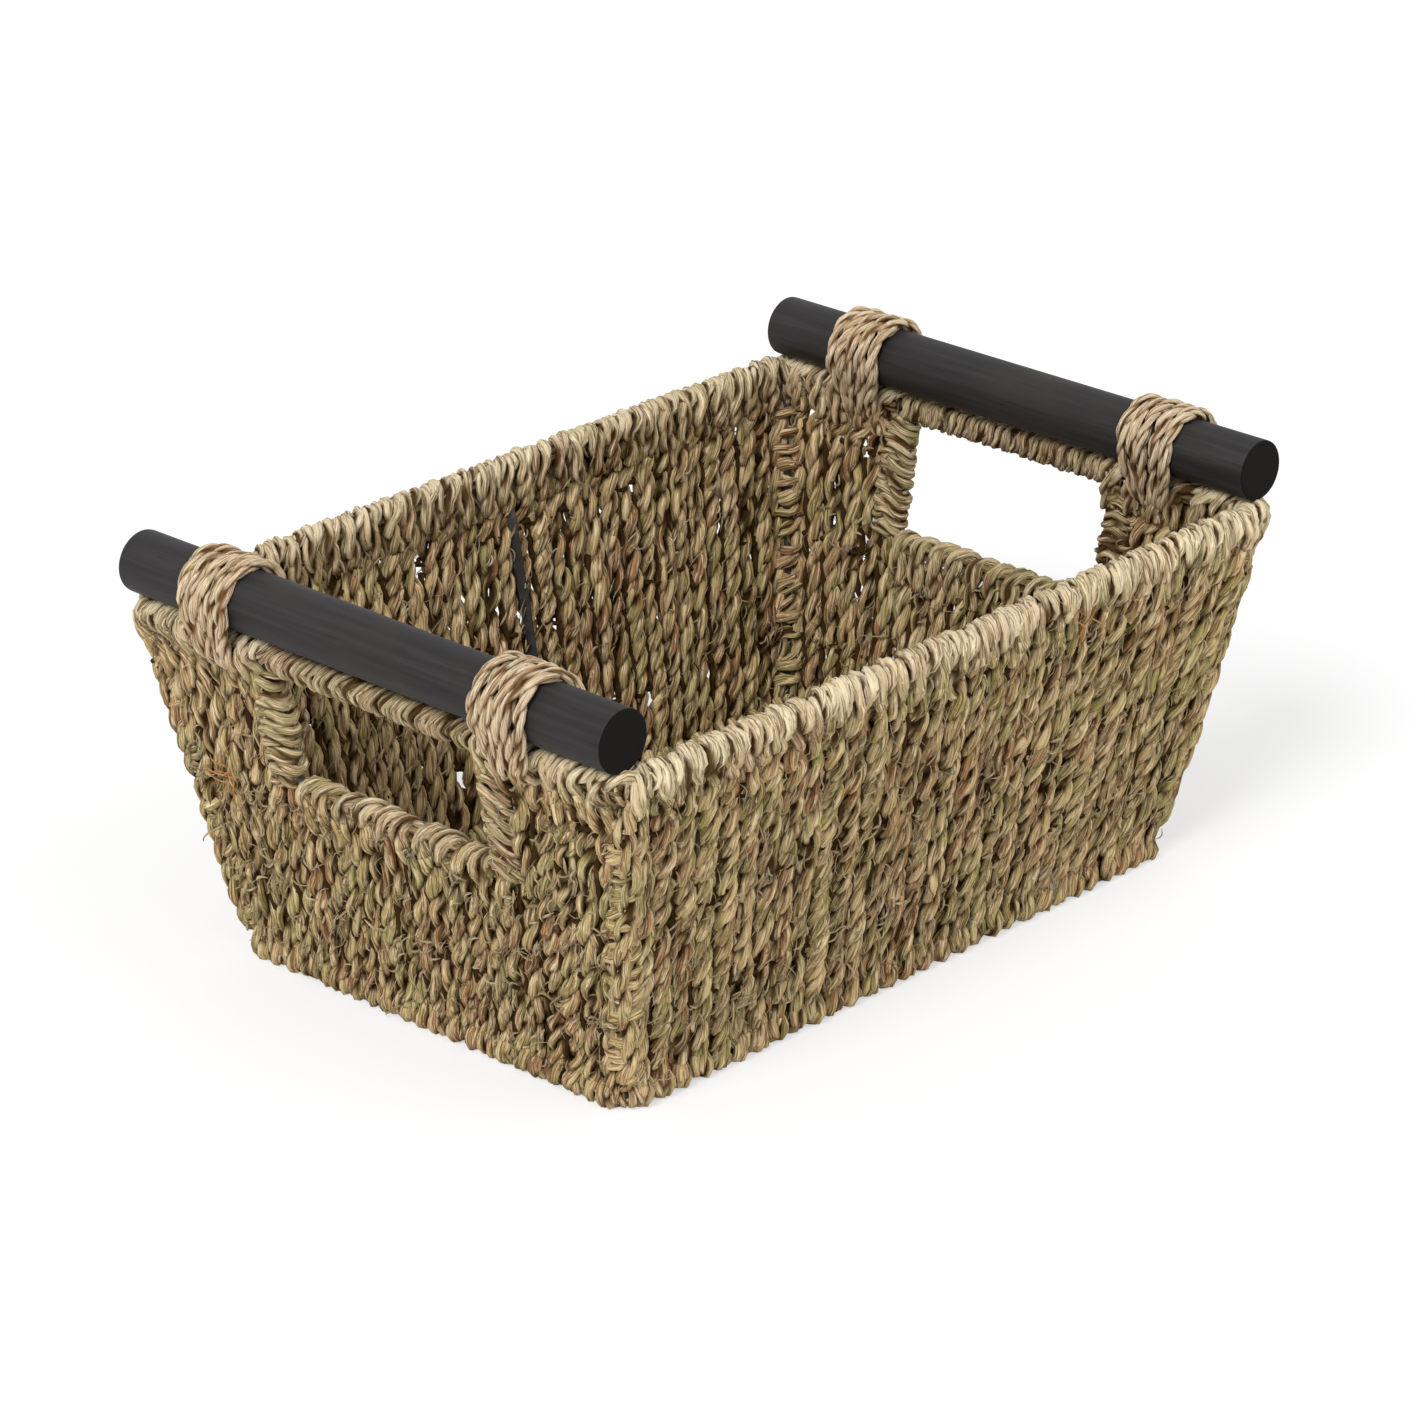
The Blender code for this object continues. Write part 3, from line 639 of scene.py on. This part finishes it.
def over_rim(wall, u, rng):
    """A column's way over the rim wire, its leaves fanned out, and down inside."""
    lean = rng.uniform(9.0, 13.0) * MM
    pale = rng.uniform(0.65, 1.05)
    scale = wall.pitch(RIM_Z) / COLUMN_WIDTH
    stops = [column_station(wall, u, RIM_Z - 0.014, 0.0010, -0.30 * lean)]
    for drop, off, fade, fan in ((0.009, 0.0016, 0.0, 0.10), (0.004, 0.0028, 0.4, 0.35)):
        stops.append(column_station(wall, u, RIM_Z - drop, off, -0.32 * lean, twist=26, pale=pale * fade,
                                    fan=fan))
    # The wraps are bleached all round and palest over the top of the wire, a painted highlight where light
    # falls from above
    for degrees, fan in ((5, 0.8), (35, 0.85), (65, 0.85), (95, 0.85), (125, 0.8), (155, 0.4), (180, 0.1)):
        place = wall.around(u, RIM_Z, RIM_WRAP_REACH, degrees, lean * (degrees / 160 - 0.33))
        stops.append(station(place, 2.0 * scale, 0.6, 2.7 * scale, 60 if fan > 0.5 else 18,
                             pale if 30 < degrees < 140 else pale * 0.4, fan))
    place = wall.point(u, RIM_Z - 0.005, -0.0036, lean * 0.7)
    stops.append(station(place, 1.9 * scale, 1.0, 2.7 * scale, 14, pale * 0.2))
    stops.append(station(wall.point(u, RIM_Z - 0.012, -0.0024, lean * 0.5), 1.6, 0.8, 2.2, 14))
    return stops


def over_hole(wall, u, rng):
    """A short column's way over the bottom wire of the hand hole and down inside."""
    lean = rng.uniform(4.0, 7.0) * MM
    pale = rng.uniform(0.1, 0.5)
    scale = wall.pitch(HOLE_Z) / COLUMN_WIDTH
    stops = [column_station(wall, u, HOLE_Z - 0.009, 0.0010, -0.2 * lean),
             column_station(wall, u, HOLE_Z - 0.003, 0.0026, -0.4 * lean, pale=pale * 0.5)]
    for degrees in (10, 45, 80, 115, 150):
        place = wall.around(u, HOLE_Z, rng.uniform(0.0030, 0.0040), degrees, lean * (degrees / 150 - 0.45))
        stops.append(station(place, 1.9 * scale, 0.8, 2.8 * scale, 24, pale, 0.12))
    stops.append(station(wall.point(u, HOLE_Z - 0.006, -0.0032, lean * 0.5), 1.8, 0.8, 2.5, 20, pale * 0.5))
    stops.append(station(wall.point(u, HOLE_Z - 0.014, -0.0026, lean * 0.3), 1.6, 0.6, 2.2))
    return stops


# How much of each column belongs to the wrap at its foot, and to the wrap at its head
FOOT_LENGTH, RIM_HEAD_LENGTH, HOLE_HEAD_LENGTH = 0.021, 0.038, 0.032


def filler(wall, u, rng):
    """Frayed leaf that fills the seam beside a column, left out at a few places."""
    if u > 0.99:
        return []
    top = (HOLE_Z if wall.beside_hole(u, 2 * MM) else RIM_Z) - 0.008
    made, strand, z = [], None, 0.010
    while z < top:
        if strand is None:
            strand = Leaf(rng.uniform(-1, 0.2), rng.uniform(0, 5))
        heart = wall.point(u, z)
        wander = wall.along * rng.uniform(-0.5, 0.5) * MM + wall.outward * rng.uniform(-1.2, 1.2) * MM
        strand.add(heart + wander, rng.uniform(1.1, 1.6) * MM, heart, 0.0048, 0.0)
        z += 0.004
        if rng.random() < 0.045 and len(strand.places) > 2:
            made.append(strand)
            strand = None
            z += rng.uniform(0.003, 0.008)
    if strand and len(strand.places) > 2:
        made.append(strand)
    return made


def weave_wall(wall):
    """All the columns of one wall, cut into wall cords, base-edge wraps, rim wraps and hole wraps."""
    rng = random.Random(wall.name)
    parts = {"wall": [], "foot": [], "rim": [], "hole": []}
    for index in range(wall.columns):
        u = (index + 0.5) / wall.columns * 2 - 1
        parts["wall"] += filler(wall, u + 1 / wall.columns, rng)
        short = wall.beside_hole(u, -1 * MM)
        top = HOLE_Z if short else RIM_Z
        stops = column_stops(wall, u, index, top, rng)
        stops += over_hole(wall, u, rng) if short else over_rim(wall, u, rng)
        total = distances([place_of(stop) for stop in stops])[-1]
        head = HOLE_HEAD_LENGTH if short else RIM_HEAD_LENGTH
        lengths = lay_cord(stops, wall.along, rng, width=wall.pitch(top), step=max(1.9, wall.columns * 0.066),
                           cuts=(FOOT_LENGTH / total, 1 - head / total))
        for part, leaves in zip(("foot", "wall", "hole" if short else "rim"), lengths):
            parts[part] += leaves
    return parts


def core(wall, rng, z, runs, spacing, angles, radius):
    """Leaves laid along a level wire under its wraps."""
    made = []
    reach = wall.point(0, z).dot(wall.outward)
    for degrees in angles:
        for start, end in runs:
            line = Leaf(rng.uniform(-0.5, 0.1), rng.uniform(0, 5))
            steps = max(2, round((end - start) / spacing))
            for i in range(steps + 1):
                along = start + (end - start) * i / steps
                centre = wall.outward * reach + wall.along * along + UP * z
                line.add(centre + ring(wall.outward, CORE_REACH, degrees), radius, centre, 0.006, 0.0)
            made.append(line)
    return made


def rim_core(wall, rng):
    """The leaves along the rim wire, left out where it is bare above a hand hole."""
    half, bare = wall.half_span(RIM_Z) + 1 * MM, HOLE_HALF + 0.006
    runs = [(-half, -bare), (bare, half)] if wall.is_end else [(-half, half)]
    return core(wall, rng, RIM_Z, runs, 0.008, range(60, 361, 60), 0.0013)


def hole_core(wall, rng):
    """The leaves along a hand hole's bottom wire."""
    half = HOLE_HALF - 0.004
    return core(wall, rng, HOLE_Z, [(-half, half)], half / 6, range(45, 360, 90), 0.0015)


def bend_places(sign_x, sign_y, wire, shares):
    """Points along a level wire's bend at one corner, each with the way that it faces."""
    half_x, half_y, bend, z = wire
    centre = Vector((sign_x * (half_x - bend), sign_y * (half_y - bend), z))
    for share in shares:
        heading = radians(90 * share)
        outward = Vector((sign_x * cos(heading), sign_y * sin(heading), 0))
        yield centre + outward * bend, outward


def rim_corner_wraps(sign_x, sign_y, rng):
    """The wraps round the rim wire's bend at one corner, bleached, and paler on top as a painted highlight.
    """
    made = []
    for middle, outward in bend_places(sign_x, sign_y, RIM_WIRE, (0.10, 0.37, 0.63, 0.90)):
        stops = [station(middle + ring(outward, RIM_WRAP_REACH, degrees), 1.5, 0.8, 2.0, 400,
                         0.9 if 10 < degrees < 170 else 0.3, 0.9) for degrees in range(-75, 256, 22)]
        made += lay_cord(stops, UP.cross(outward), rng, step=1.6, width=0.0062, leaves=2)[0]
    return made


def base_corner_wraps(sign_x, sign_y, rng):
    """The wraps round the base wire's bend at one corner."""
    made = []
    for middle, outward in bend_places(sign_x, sign_y, BASE_WIRE, (0.0, 0.34, 0.67, 1.0)):
        stops = [station(middle + ring(outward, BASE_WRAP_REACH, degrees), 1.4, 0.5, 2.0, 30, 0.2)
                 for degrees in range(-120, 200, 25)]
        made += lay_cord(stops, UP.cross(outward), rng, step=1.6, leaves=3)[0]
    return made


def rim_bar_wraps(wall):
    """The close coil round the bare rim wire above a hand hole, which hangs a little below the wire."""
    rng = random.Random(wall.name + "_bar")
    pitch, half, drop = 0.0043, HOLE_HALF + 0.001, 0.0003
    stops = []
    for _, a, come in coil(int(2 * half / pitch), -half, half):
        along = come + 0.0026 * abs(sin(a)) + rng.uniform(-0.2, 0.2) * MM
        around = wall.outward * (0.0035 * cos(a)) + UP * (0.0039 * sin(a) - drop)
        centre = wall.outward * RIM_HALF_X + wall.along * along + UP * RIM_Z
        stops.append(station(centre + around, 0.8, 0.3, rng.uniform(1.6, 2.0), 16, 0.35))
    return lay_cord(stops, wall.along, rng, leaves=3, step=1.3, ease=1)[0]


def hole_side_wraps(wall, sign):
    """The wraps that bind a hand hole's upright wire to the next column."""
    rng = random.Random(f"{wall.name}_{sign}_side")
    low, high, pitch = HOLE_Z + 0.0025, RIM_Z - 0.004, 0.0047
    middle, half = HOLE_HALF + 0.0030, 0.0054
    stops = []
    for i, a, come in coil(int((high - low) / pitch), low, high):
        wobble = 0.8 * MM * ripple(i * 0.21, sign * 3.0, wall.reach[1] * 50)
        z = come + wobble - 0.0028 * abs(cos(a))
        across = middle + half * cos(a) + wobble
        place = wall.point(0, z) + wall.outward * (0.0034 * sin(a) + wobble) + wall.along * (sign * across)
        stops.append(station(place, 1.15, 0.8, rng.uniform(2.0, 2.6), 17, 0.25))
    return lay_cord(stops, UP, rng, leaves=3, step=1.5, ease=1)[0]


for wall in WALLS:
    parts = weave_wall(wall)
    rng = random.Random(wall.name + "_edges")
    parts["rim"] += rim_core(wall, rng)
    sweep(f"{wall.name}_wall_cords", parts["wall"], SEAGRASS, nodes=[f"{wall.name}_wall_weave"])
    if wall.is_end:
        parts["rim"] += rim_bar_wraps(wall)
        parts["hole"] += hole_side_wraps(wall, 1) + hole_side_wraps(wall, -1) + hole_core(wall, rng)
        sweep(f"{wall.name}_hand_hole_wraps", parts["hole"], EDGE_GRASS,
              [f"hand_hole_binding_{wall.name}"])
    else:
        for sign_x in (-1, 1):
            parts["rim"] += rim_corner_wraps(sign_x, wall.outward.y, rng)
            parts["foot"] += base_corner_wraps(sign_x, wall.outward.y, rng)
    sweep(f"{wall.name}_base_edge_wraps", parts["foot"], SEAGRASS,
          [f"base_binding_{wall.name}"])
    sweep(f"{wall.name}_rim_wraps", parts["rim"], EDGE_GRASS,
          [f"rim_binding_{wall.name}"])


# ---- base
def base_cords():
    """The cords of the base, side by side from front to back, with frayed leaf in the seams between them
    and a cord wound round each short side of the base wire."""
    rng = random.Random("base")
    made = []
    count, cord_height, row_gap, flat_half = FRONT.columns, 0.0053, 0.016, 0.081
    for index in range(count):
        x = ((index + 0.5) / count * 2 - 1) * FRONT.half_span(BASE_Z)
        stops = []
        y = -BASE_HALF_Y
        while y < BASE_HALF_Y + 0.0001:
            wave = 0.5 * MM * sin(y / row_gap * pi + (pi if index % 2 else 0))
            height = cord_height + wave + max(0.0, abs(y) - flat_half) * 0.55
            stops.append(station((x + rng.uniform(-0.3, 0.3) * MM, y, height), 1.7, 1.0, 3.4))
            y += BASE_HALF_Y / 11
        made += lay_cord(stops, Vector((1, 0, 0)), rng, leaves=3, step=2.8)[0]
        seam = Leaf(rng.uniform(-1, 0.2), rng.uniform(0, 5))
        edge = x + FRONT.pitch(BASE_Z) / 2
        for i in range(21 if index < count - 1 else 0):
            y = (i / 10 - 1) * (BASE_HALF_Y - 0.006)
            heart = Vector((edge, y, 0.0045))
            wander = Vector((rng.uniform(-0.4, 0.4), 0, rng.uniform(-0.9, 0.9))) * MM
            seam.add(heart + wander, rng.uniform(1.4, 1.9) * MM, heart, 0.0052, 0.0)
        if seam.places:
            made.append(seam)
    half = BASE_HALF_Y - 0.007
    for sign in (-1, 1):
        stops = []
        for _, a, y in coil(30, -half, half, 10):
            around = Vector((cos(a), 0, sin(a))) * 0.0033
            stops.append(station(Vector((sign * BASE_HALF_X, y, BASE_Z)) + around, 0.9, 0.3, 1.9, 18))
        made += lay_cord(stops, Vector((0, 1, 0)), rng, leaves=2, step=2.0, ease=1)[0]
    return made


sweep("base_cords", base_cords(), SEAGRASS, nodes=["base_weave"])


# ---- corners
# The covering cord, from foot to top: how far up the post, how far out from it, and aside in mm
COVER_PATH = ((0.005, 0.0, 0), (0.010, 0.0036, 1), (0.022, 0.0046, 1.8), (0.034, 0.0042, 0.5),
              (0.048, 0.0048, -1.8), (0.064, 0.0042, -1.4), (0.080, 0.0048, 0.8), (0.096, 0.0042, 2.0),
              (0.108, 0.0046, 0.6), (0.118, 0.0034, -0.6), (0.124, 0.0, 0))


def corner_wraps(sign_x, sign_y, name):
    """A thin cord wound up one corner post, and the cord that covers the post outside."""
    rng = random.Random(name)
    signs = Vector((sign_x, sign_y, 1))
    foot = POST_FOOT * signs
    axis = (POST_TOP * signs - foot).normalized()
    side = Vector((sign_x, sign_y, 0)).normalized()
    side = (side - axis * side.dot(axis)).normalized()
    front = axis.cross(side)
    low, high, pitch, reach = 0.010, 0.116, 0.0056, 0.0040
    stops = []
    for i, a, come in coil(int((high - low) / pitch), low, high):
        drift = ripple(i * 0.05, sign_x * 6.0, sign_y * 2.0)
        up = axis * (come + 4.0 * MM * drift)
        wobble = 1 + 0.3 * ripple(i * 0.17, sign_x * 4.0, sign_y * 9.0)
        around = side * (reach * wobble * cos(a)) + front * (reach * wobble * sin(a))
        tilt = axis * (1.6 * MM * sin(a * 0.93 + 5 * drift))
        stops.append(station(foot + up + tilt + around, 0, 0, rng.uniform(2.5, 3.1), 20, 0.05))
    made = lay_cord(stops, axis, rng, plies=1, step=1.8, ease=1)[0]

    cover = []
    for up, off, slip in COVER_PATH:
        aside = front * ((slip + rng.uniform(-0.4, 0.4)) * MM)
        full = 0.35 if up > 0.12 else 1.0
        cover.append(station(foot + axis * up + side * off + aside, 1.7 * full, 1.2 * full, 2.5 * full, 22))
    made += lay_cord(cover, front, rng)[0]
    sweep(name, made, SEAGRASS, [name.replace("wraps", "lacing")])


for end, face, sign_x, sign_y in CORNERS:
    corner_wraps(sign_x, sign_y, f"corner_wraps_{face}_{end}")


# ---- rows
def row_strands():
    """Thin leaf strands in pairs along every row, one outside and one inside each column in turn."""
    rng = random.Random("rows")
    made = []
    for row, z in enumerate(ROW_HEIGHTS):
        for wall in WALLS:
            full, gap = 1.03, (HOLE_HALF + 0.004) / wall.half_span(z)
            broken = wall.is_end and z > HOLE_Z
            for start, end in ((-full, -gap), (gap, full)) if broken else ((-full, full),):
                steps = max(4, round((end - start) * wall.columns))
                for face in (1, -1):
                    strand = Leaf(rng.uniform(-0.4, 0.4), rng.uniform(0, 5))
                    for i in range(steps * 2 + 1):
                        u = start + (end - start) * i / (steps * 2)
                        off = face * 1.9 * MM * sin(pi * (i + 0.5) / 2 + pi * row)
                        heart = wall.point(u, z)
                        strand.add(wall.point(u, z + face * 0.7 * MM, off), 0.9 * MM, heart, 0.0060, 0.1)
                    made.append(strand)
    return made


sweep("row_strands", row_strands(), SEAGRASS)


# ---- lashings
def belt_outline(c1, r1, c2, r2, count):
    """Evenly spaced points on a belt round two circles in the XZ plane, each with how near it is to the
    first circle: 1 there and 0 at the second."""
    line = c2 - c1
    heading = atan2(line.y, line.x)
    open_angle = acos((r1 - r2) / line.length)
    rough = []
    for centre, radius, near, start, bend, steps in (
            (c1, r1, 1.0, heading + open_angle, TURN - 2 * open_angle, 24),
            (c2, r2, 0.0, heading - open_angle, 2 * open_angle, 12)):
        for i in range(steps + 1):
            a = start + bend * i / steps
            rough.append((centre + Vector((cos(a), sin(a))) * radius, near))
    rough.append(rough[0])
    reached = distances([point for point, _ in rough])
    points = []
    for i in range(count):
        goal = reached[-1] * i / count
        at = max(k for k in range(len(reached) - 1) if reached[k] <= goal + 1e-9)
        t = (goal - reached[at]) / max(reached[at + 1] - reached[at], 1e-9)
        points.append((rough[at][0].lerp(rough[at + 1][0], t), rough[at][1] * (1 - t) + rough[at + 1][1] * t))
    return points


def lashing(sign_x, sign_y, name):
    """Turns of twine that tie a dowel down to the rim, drawn together under it."""
    rng = random.Random(name)
    dowel = Vector((sign_x * DOWEL_X, DOWEL_Z))
    rim = Vector((sign_x * RIM_HALF_X, RIM_Z))
    outline = belt_outline(dowel, DOWEL_RADIUS + 0.0022, rim, 0.0074, 36)
    turns, gaps, cord_width = 5, 4.6, 4.6 * MM
    spacing = (LASHING_WIDTH - cord_width) / gaps
    stops = []
    for i in range(turns * len(outline) + 1):
        flat, near = outline[i % len(outline)]
        offset = (i / len(outline) - turns / 2) * spacing
        drift = 1.3 * MM * ripple(i * 0.045, LASHING_Y * sign_x * 90, sign_y * 7.7)
        lift = 0.5 * MM * ripple(i * 0.08, sign_x * 3.1, sign_y * 5.9)
        away = (flat - dowel).normalized() * lift
        y = sign_y * LASHING_Y + offset * (0.55 + 0.45 * near) + drift
        stops.append(station((flat.x + away.x, y, flat.y + away.y), 1.05, 0.85, 1.75, 17, 0.4))
    made = lay_cord(stops, Vector((0, 1, 0)), rng, leaves=3, step=1.3, ease=1)[0]
    sweep(name, made, TWINE, [name.replace("twine_", "handle_")])


for end, face, sign_x, sign_y in CORNERS:
    lashing(sign_x, sign_y, f"twine_lashing_{end}_{face}")


# ---- loose leaf ends
# The least height of a loose leaf's middle over the floor
LOOSE_HEIGHT = 0.0006


def loose_leaf(start, outward, along, rng, length):
    """One thin leaf end that has worked loose and curls away from the cords."""
    heading = (UP * rng.uniform(-1.0, 1.0) + along * rng.uniform(-0.8, 0.8)).normalized()
    rise = rng.uniform(0.12, 0.55)
    curl = rng.uniform(-0.9, 0.9)
    bend = heading.cross(outward)
    strand = Leaf(rng.uniform(-0.3, 0.6), rng.uniform(0, 5))
    pale = rng.uniform(0.1, 0.7)
    thick = rng.uniform(0.28, 0.50) * MM
    for i in range(7):
        t = i / 6
        lift = outward * (rise * length * sin(t * pi * rng.uniform(0.78, 0.82)) - 0.6 * MM)
        point = start + heading * (length * t) + bend * (curl * length * t * t * 0.5) + lift
        point.z = max(point.z, LOOSE_HEIGHT)
        strand.add(point, thick * (1 - 0.6 * t), point - outward * 0.01, 0.008, pale)
    return strand


def loose_leaves(wall, count):
    """Loose leaf ends all over one wall and its rim, outside and inside."""
    rng = random.Random(wall.name + "_loose")
    made = []
    while len(made) < count:
        u, z = rng.uniform(-0.98, 0.98), rng.uniform(0.004, RIM_Z + 0.002)
        face = -1 if rng.random() < 0.3 else 1
        length = rng.uniform(4, 11) * MM
        if wall.in_hole(u, z):
            continue
        start = wall.point(u, z, face * 3.9 * MM)
        made.append(loose_leaf(start, wall.outward * face, wall.along, rng, length))
    return made


def stray_fibres(wall, count):
    """Fine fibres and flecks of leaf that lie close over the cords, along their lean for the most part; a
    few lie along the lower rows."""
    rng = random.Random(wall.name + "_fibres")
    made = []
    while len(made) < count:
        u, z = rng.uniform(-1, 1), rng.uniform(0.006, RIM_Z)
        if wall.in_hole(u, z, 2 * MM):
            continue
        face = -1 if rng.random() < 0.35 else 1
        lean = radians(rng.gauss(24, 26)) * face
        in_row = face == 1 and rng.random() < 0.09
        if in_row:
            z = rng.choice(ROW_HEIGHTS[:2]) + rng.gauss(0, 1.7) * MM
            lean = radians(rng.gauss(76, 15))
        heading = UP * cos(lean) + wall.along * sin(lean)
        fleck = rng.random() < 0.5
        length, lift = rng.uniform(4, 11) * MM, rng.uniform(0.2, 1.5) * MM
        if fleck:
            length, lift = rng.uniform(3, 7) * MM, rng.uniform(0.1, 0.8) * MM
        bend = heading.cross(wall.outward) * rng.uniform(-0.35, 0.35)
        strand = Leaf(rng.uniform(-1, 1), rng.uniform(0, 5))
        pale = rng.uniform(0.0, 1.0)
        thick = (rng.uniform(0.32, 0.60) if fleck else rng.uniform(0.16, 0.30)) * MM
        if in_row:
            thick, length = rng.uniform(0.40, 0.70) * MM, rng.uniform(3, 7) * MM
        start = wall.point(u, z, face * rng.uniform(3.2, 4.3) * MM) - heading * (length / 2)
        for i in range(5):
            t = i / 4
            arch = sin(pi * t)
            point = start + heading * (length * t) + bend * (length * arch)
            point += wall.outward * (face * lift * arch)
            point.z = max(point.z, LOOSE_HEIGHT)
            strand.add(point, thick * (0.4 + 0.6 * arch), point - wall.outward * (face * 0.01), 0.010, pale)
        made.append(strand)
    return made


for wall in WALLS:
    leaf_count, fibre_count = (45, 1000) if wall.is_end else (70, 1500)
    sweep(f"{wall.name}_loose_leaves", loose_leaves(wall, leaf_count), SEAGRASS)
    sweep(f"{wall.name}_stray_fibres", stray_fibres(wall, fibre_count), SEAGRASS, sides=4)


def tuft(name, wall, u, z, count, material):
    """A small bunch of loose ends at one place on a wall."""
    rng = random.Random(name)
    leaves = []
    for _ in range(count):
        aside = wall.along * rng.uniform(-2.5, 2.5) * MM
        start = wall.point(u, z, 0.004) + aside + UP * rng.uniform(-3, 3) * MM
        leaves.append(loose_leaf(start, wall.outward, wall.along, rng, rng.uniform(5, 12) * MM))
    sweep(name, leaves, material)


tuft("rusty_tuft_left", LEFT, -0.80, 0.075, 12, RUSTY_GRASS)
tuft("rusty_tuft_front", FRONT, 0.42, 0.121, 9, RUSTY_GRASS)
tuft("pale_tuft_front", FRONT, -0.66, 0.026, 10, EDGE_GRASS)


# ---- dowels
def dowel(sign_x, name):
    """One turned handle with its edges just broken."""
    bm = bmesh.new()
    bmesh.ops.create_cone(bm, cap_ends=True, segments=72, radius1=DOWEL_RADIUS, radius2=DOWEL_RADIUS,
                          depth=DOWEL_HIGH[1] - DOWEL_LOW[1])
    ends = [edge for edge in bm.edges if abs(edge.verts[0].co.z - edge.verts[1].co.z) < 1e-6]
    bmesh.ops.bevel(bm, geom=ends, offset=0.0009, segments=3, profile=0.6, affect="EDGES")
    bmesh.ops.rotate(bm, verts=bm.verts, cent=(0, 0, 0), matrix=Matrix.Rotation(pi / 2, 3, "X"))
    bmesh.ops.translate(bm, verts=bm.verts, vec=(sign_x * DOWEL_X, 0, DOWEL_Z))
    for face in bm.faces:
        face.smooth = len(face.verts) <= 4
    hand_over(name, mesh_of(bm, name), WOOD, [name.replace("turned", "handle")])


dowel(-1, "dowel_turned_left")
dowel(1, "dowel_turned_right")


# ---- wires, the pieces that nothing replaced
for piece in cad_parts.values():
    if not piece.hide_render:
        piece.data.materials.clear()
        piece.data.materials.append(WIRE)


# ---- floor, lights, world
def make_floor():
    """A wide pale floor that keeps the basket's soft shadow and is nearly white to the camera."""
    made, tree = new_material("pale_floor")
    tree.nodes.remove(tree.nodes["Principled BSDF"])
    seen = sight(tree)
    paleness = blend_colours(tree, seen, (0.85, 0.84, 0.82, 1), (0.46, 0.46, 0.46, 1))
    matt = node(tree, "ShaderNodeBsdfDiffuse", {"Color": paleness})
    lift = maths(tree, "MULTIPLY", seen, 0.54)
    glow = node(tree, "ShaderNodeEmission", {"Color": (1, 1, 1, 1), "Strength": lift})
    both = node(tree, "ShaderNodeAddShader", {0: matt.outputs[0], 1: glow.outputs[0]})
    tree.links.new(both.outputs[0], tree.nodes["Material Output"].inputs["Surface"])
    bm = bmesh.new()
    bmesh.ops.create_grid(bm, x_segments=2, y_segments=2, size=6)
    mesh = mesh_of(bm, "floor")
    mesh.materials.append(made)
    add_object("floor", mesh)


make_floor()

# How bright the world is as a light, and as it is seen
WORLD_LIGHT, WORLD_SEEN = 0.58, 1.0

world = bpy.data.worlds.new("studio")
SCENE.world = world
world.use_nodes = True
sky = world.node_tree.nodes["Background"].inputs
sky["Color"].default_value = (1, 1, 1, 1)
strength = remap(world.node_tree, sight(world.node_tree), 0, 1, WORLD_LIGHT, WORLD_SEEN)
world.node_tree.links.new(strength, sky["Strength"])


def soft_sun(name, heading, height, strength, softness):
    """A far lamp with its heading, its height and the angle that it spreads over, in degrees."""
    lamp = add_object(name, bpy.data.lights.new(name, "SUN"))
    lamp.data.energy = strength
    lamp.data.angle = radians(softness)
    a, e = radians(heading), radians(height)
    towards = Vector((cos(a) * cos(e), sin(a) * cos(e), sin(e)))
    lamp.location = towards * 3
    lamp.rotation_euler = (-towards).to_track_quat("-Z", "Y").to_euler()


soft_sun("key_lamp", 195, 44, 2.06, 25)
soft_sun("fill_lamp", 280, 36, 0.68, 50)

# ---- last update of the scene
bpy.context.view_layer.update()
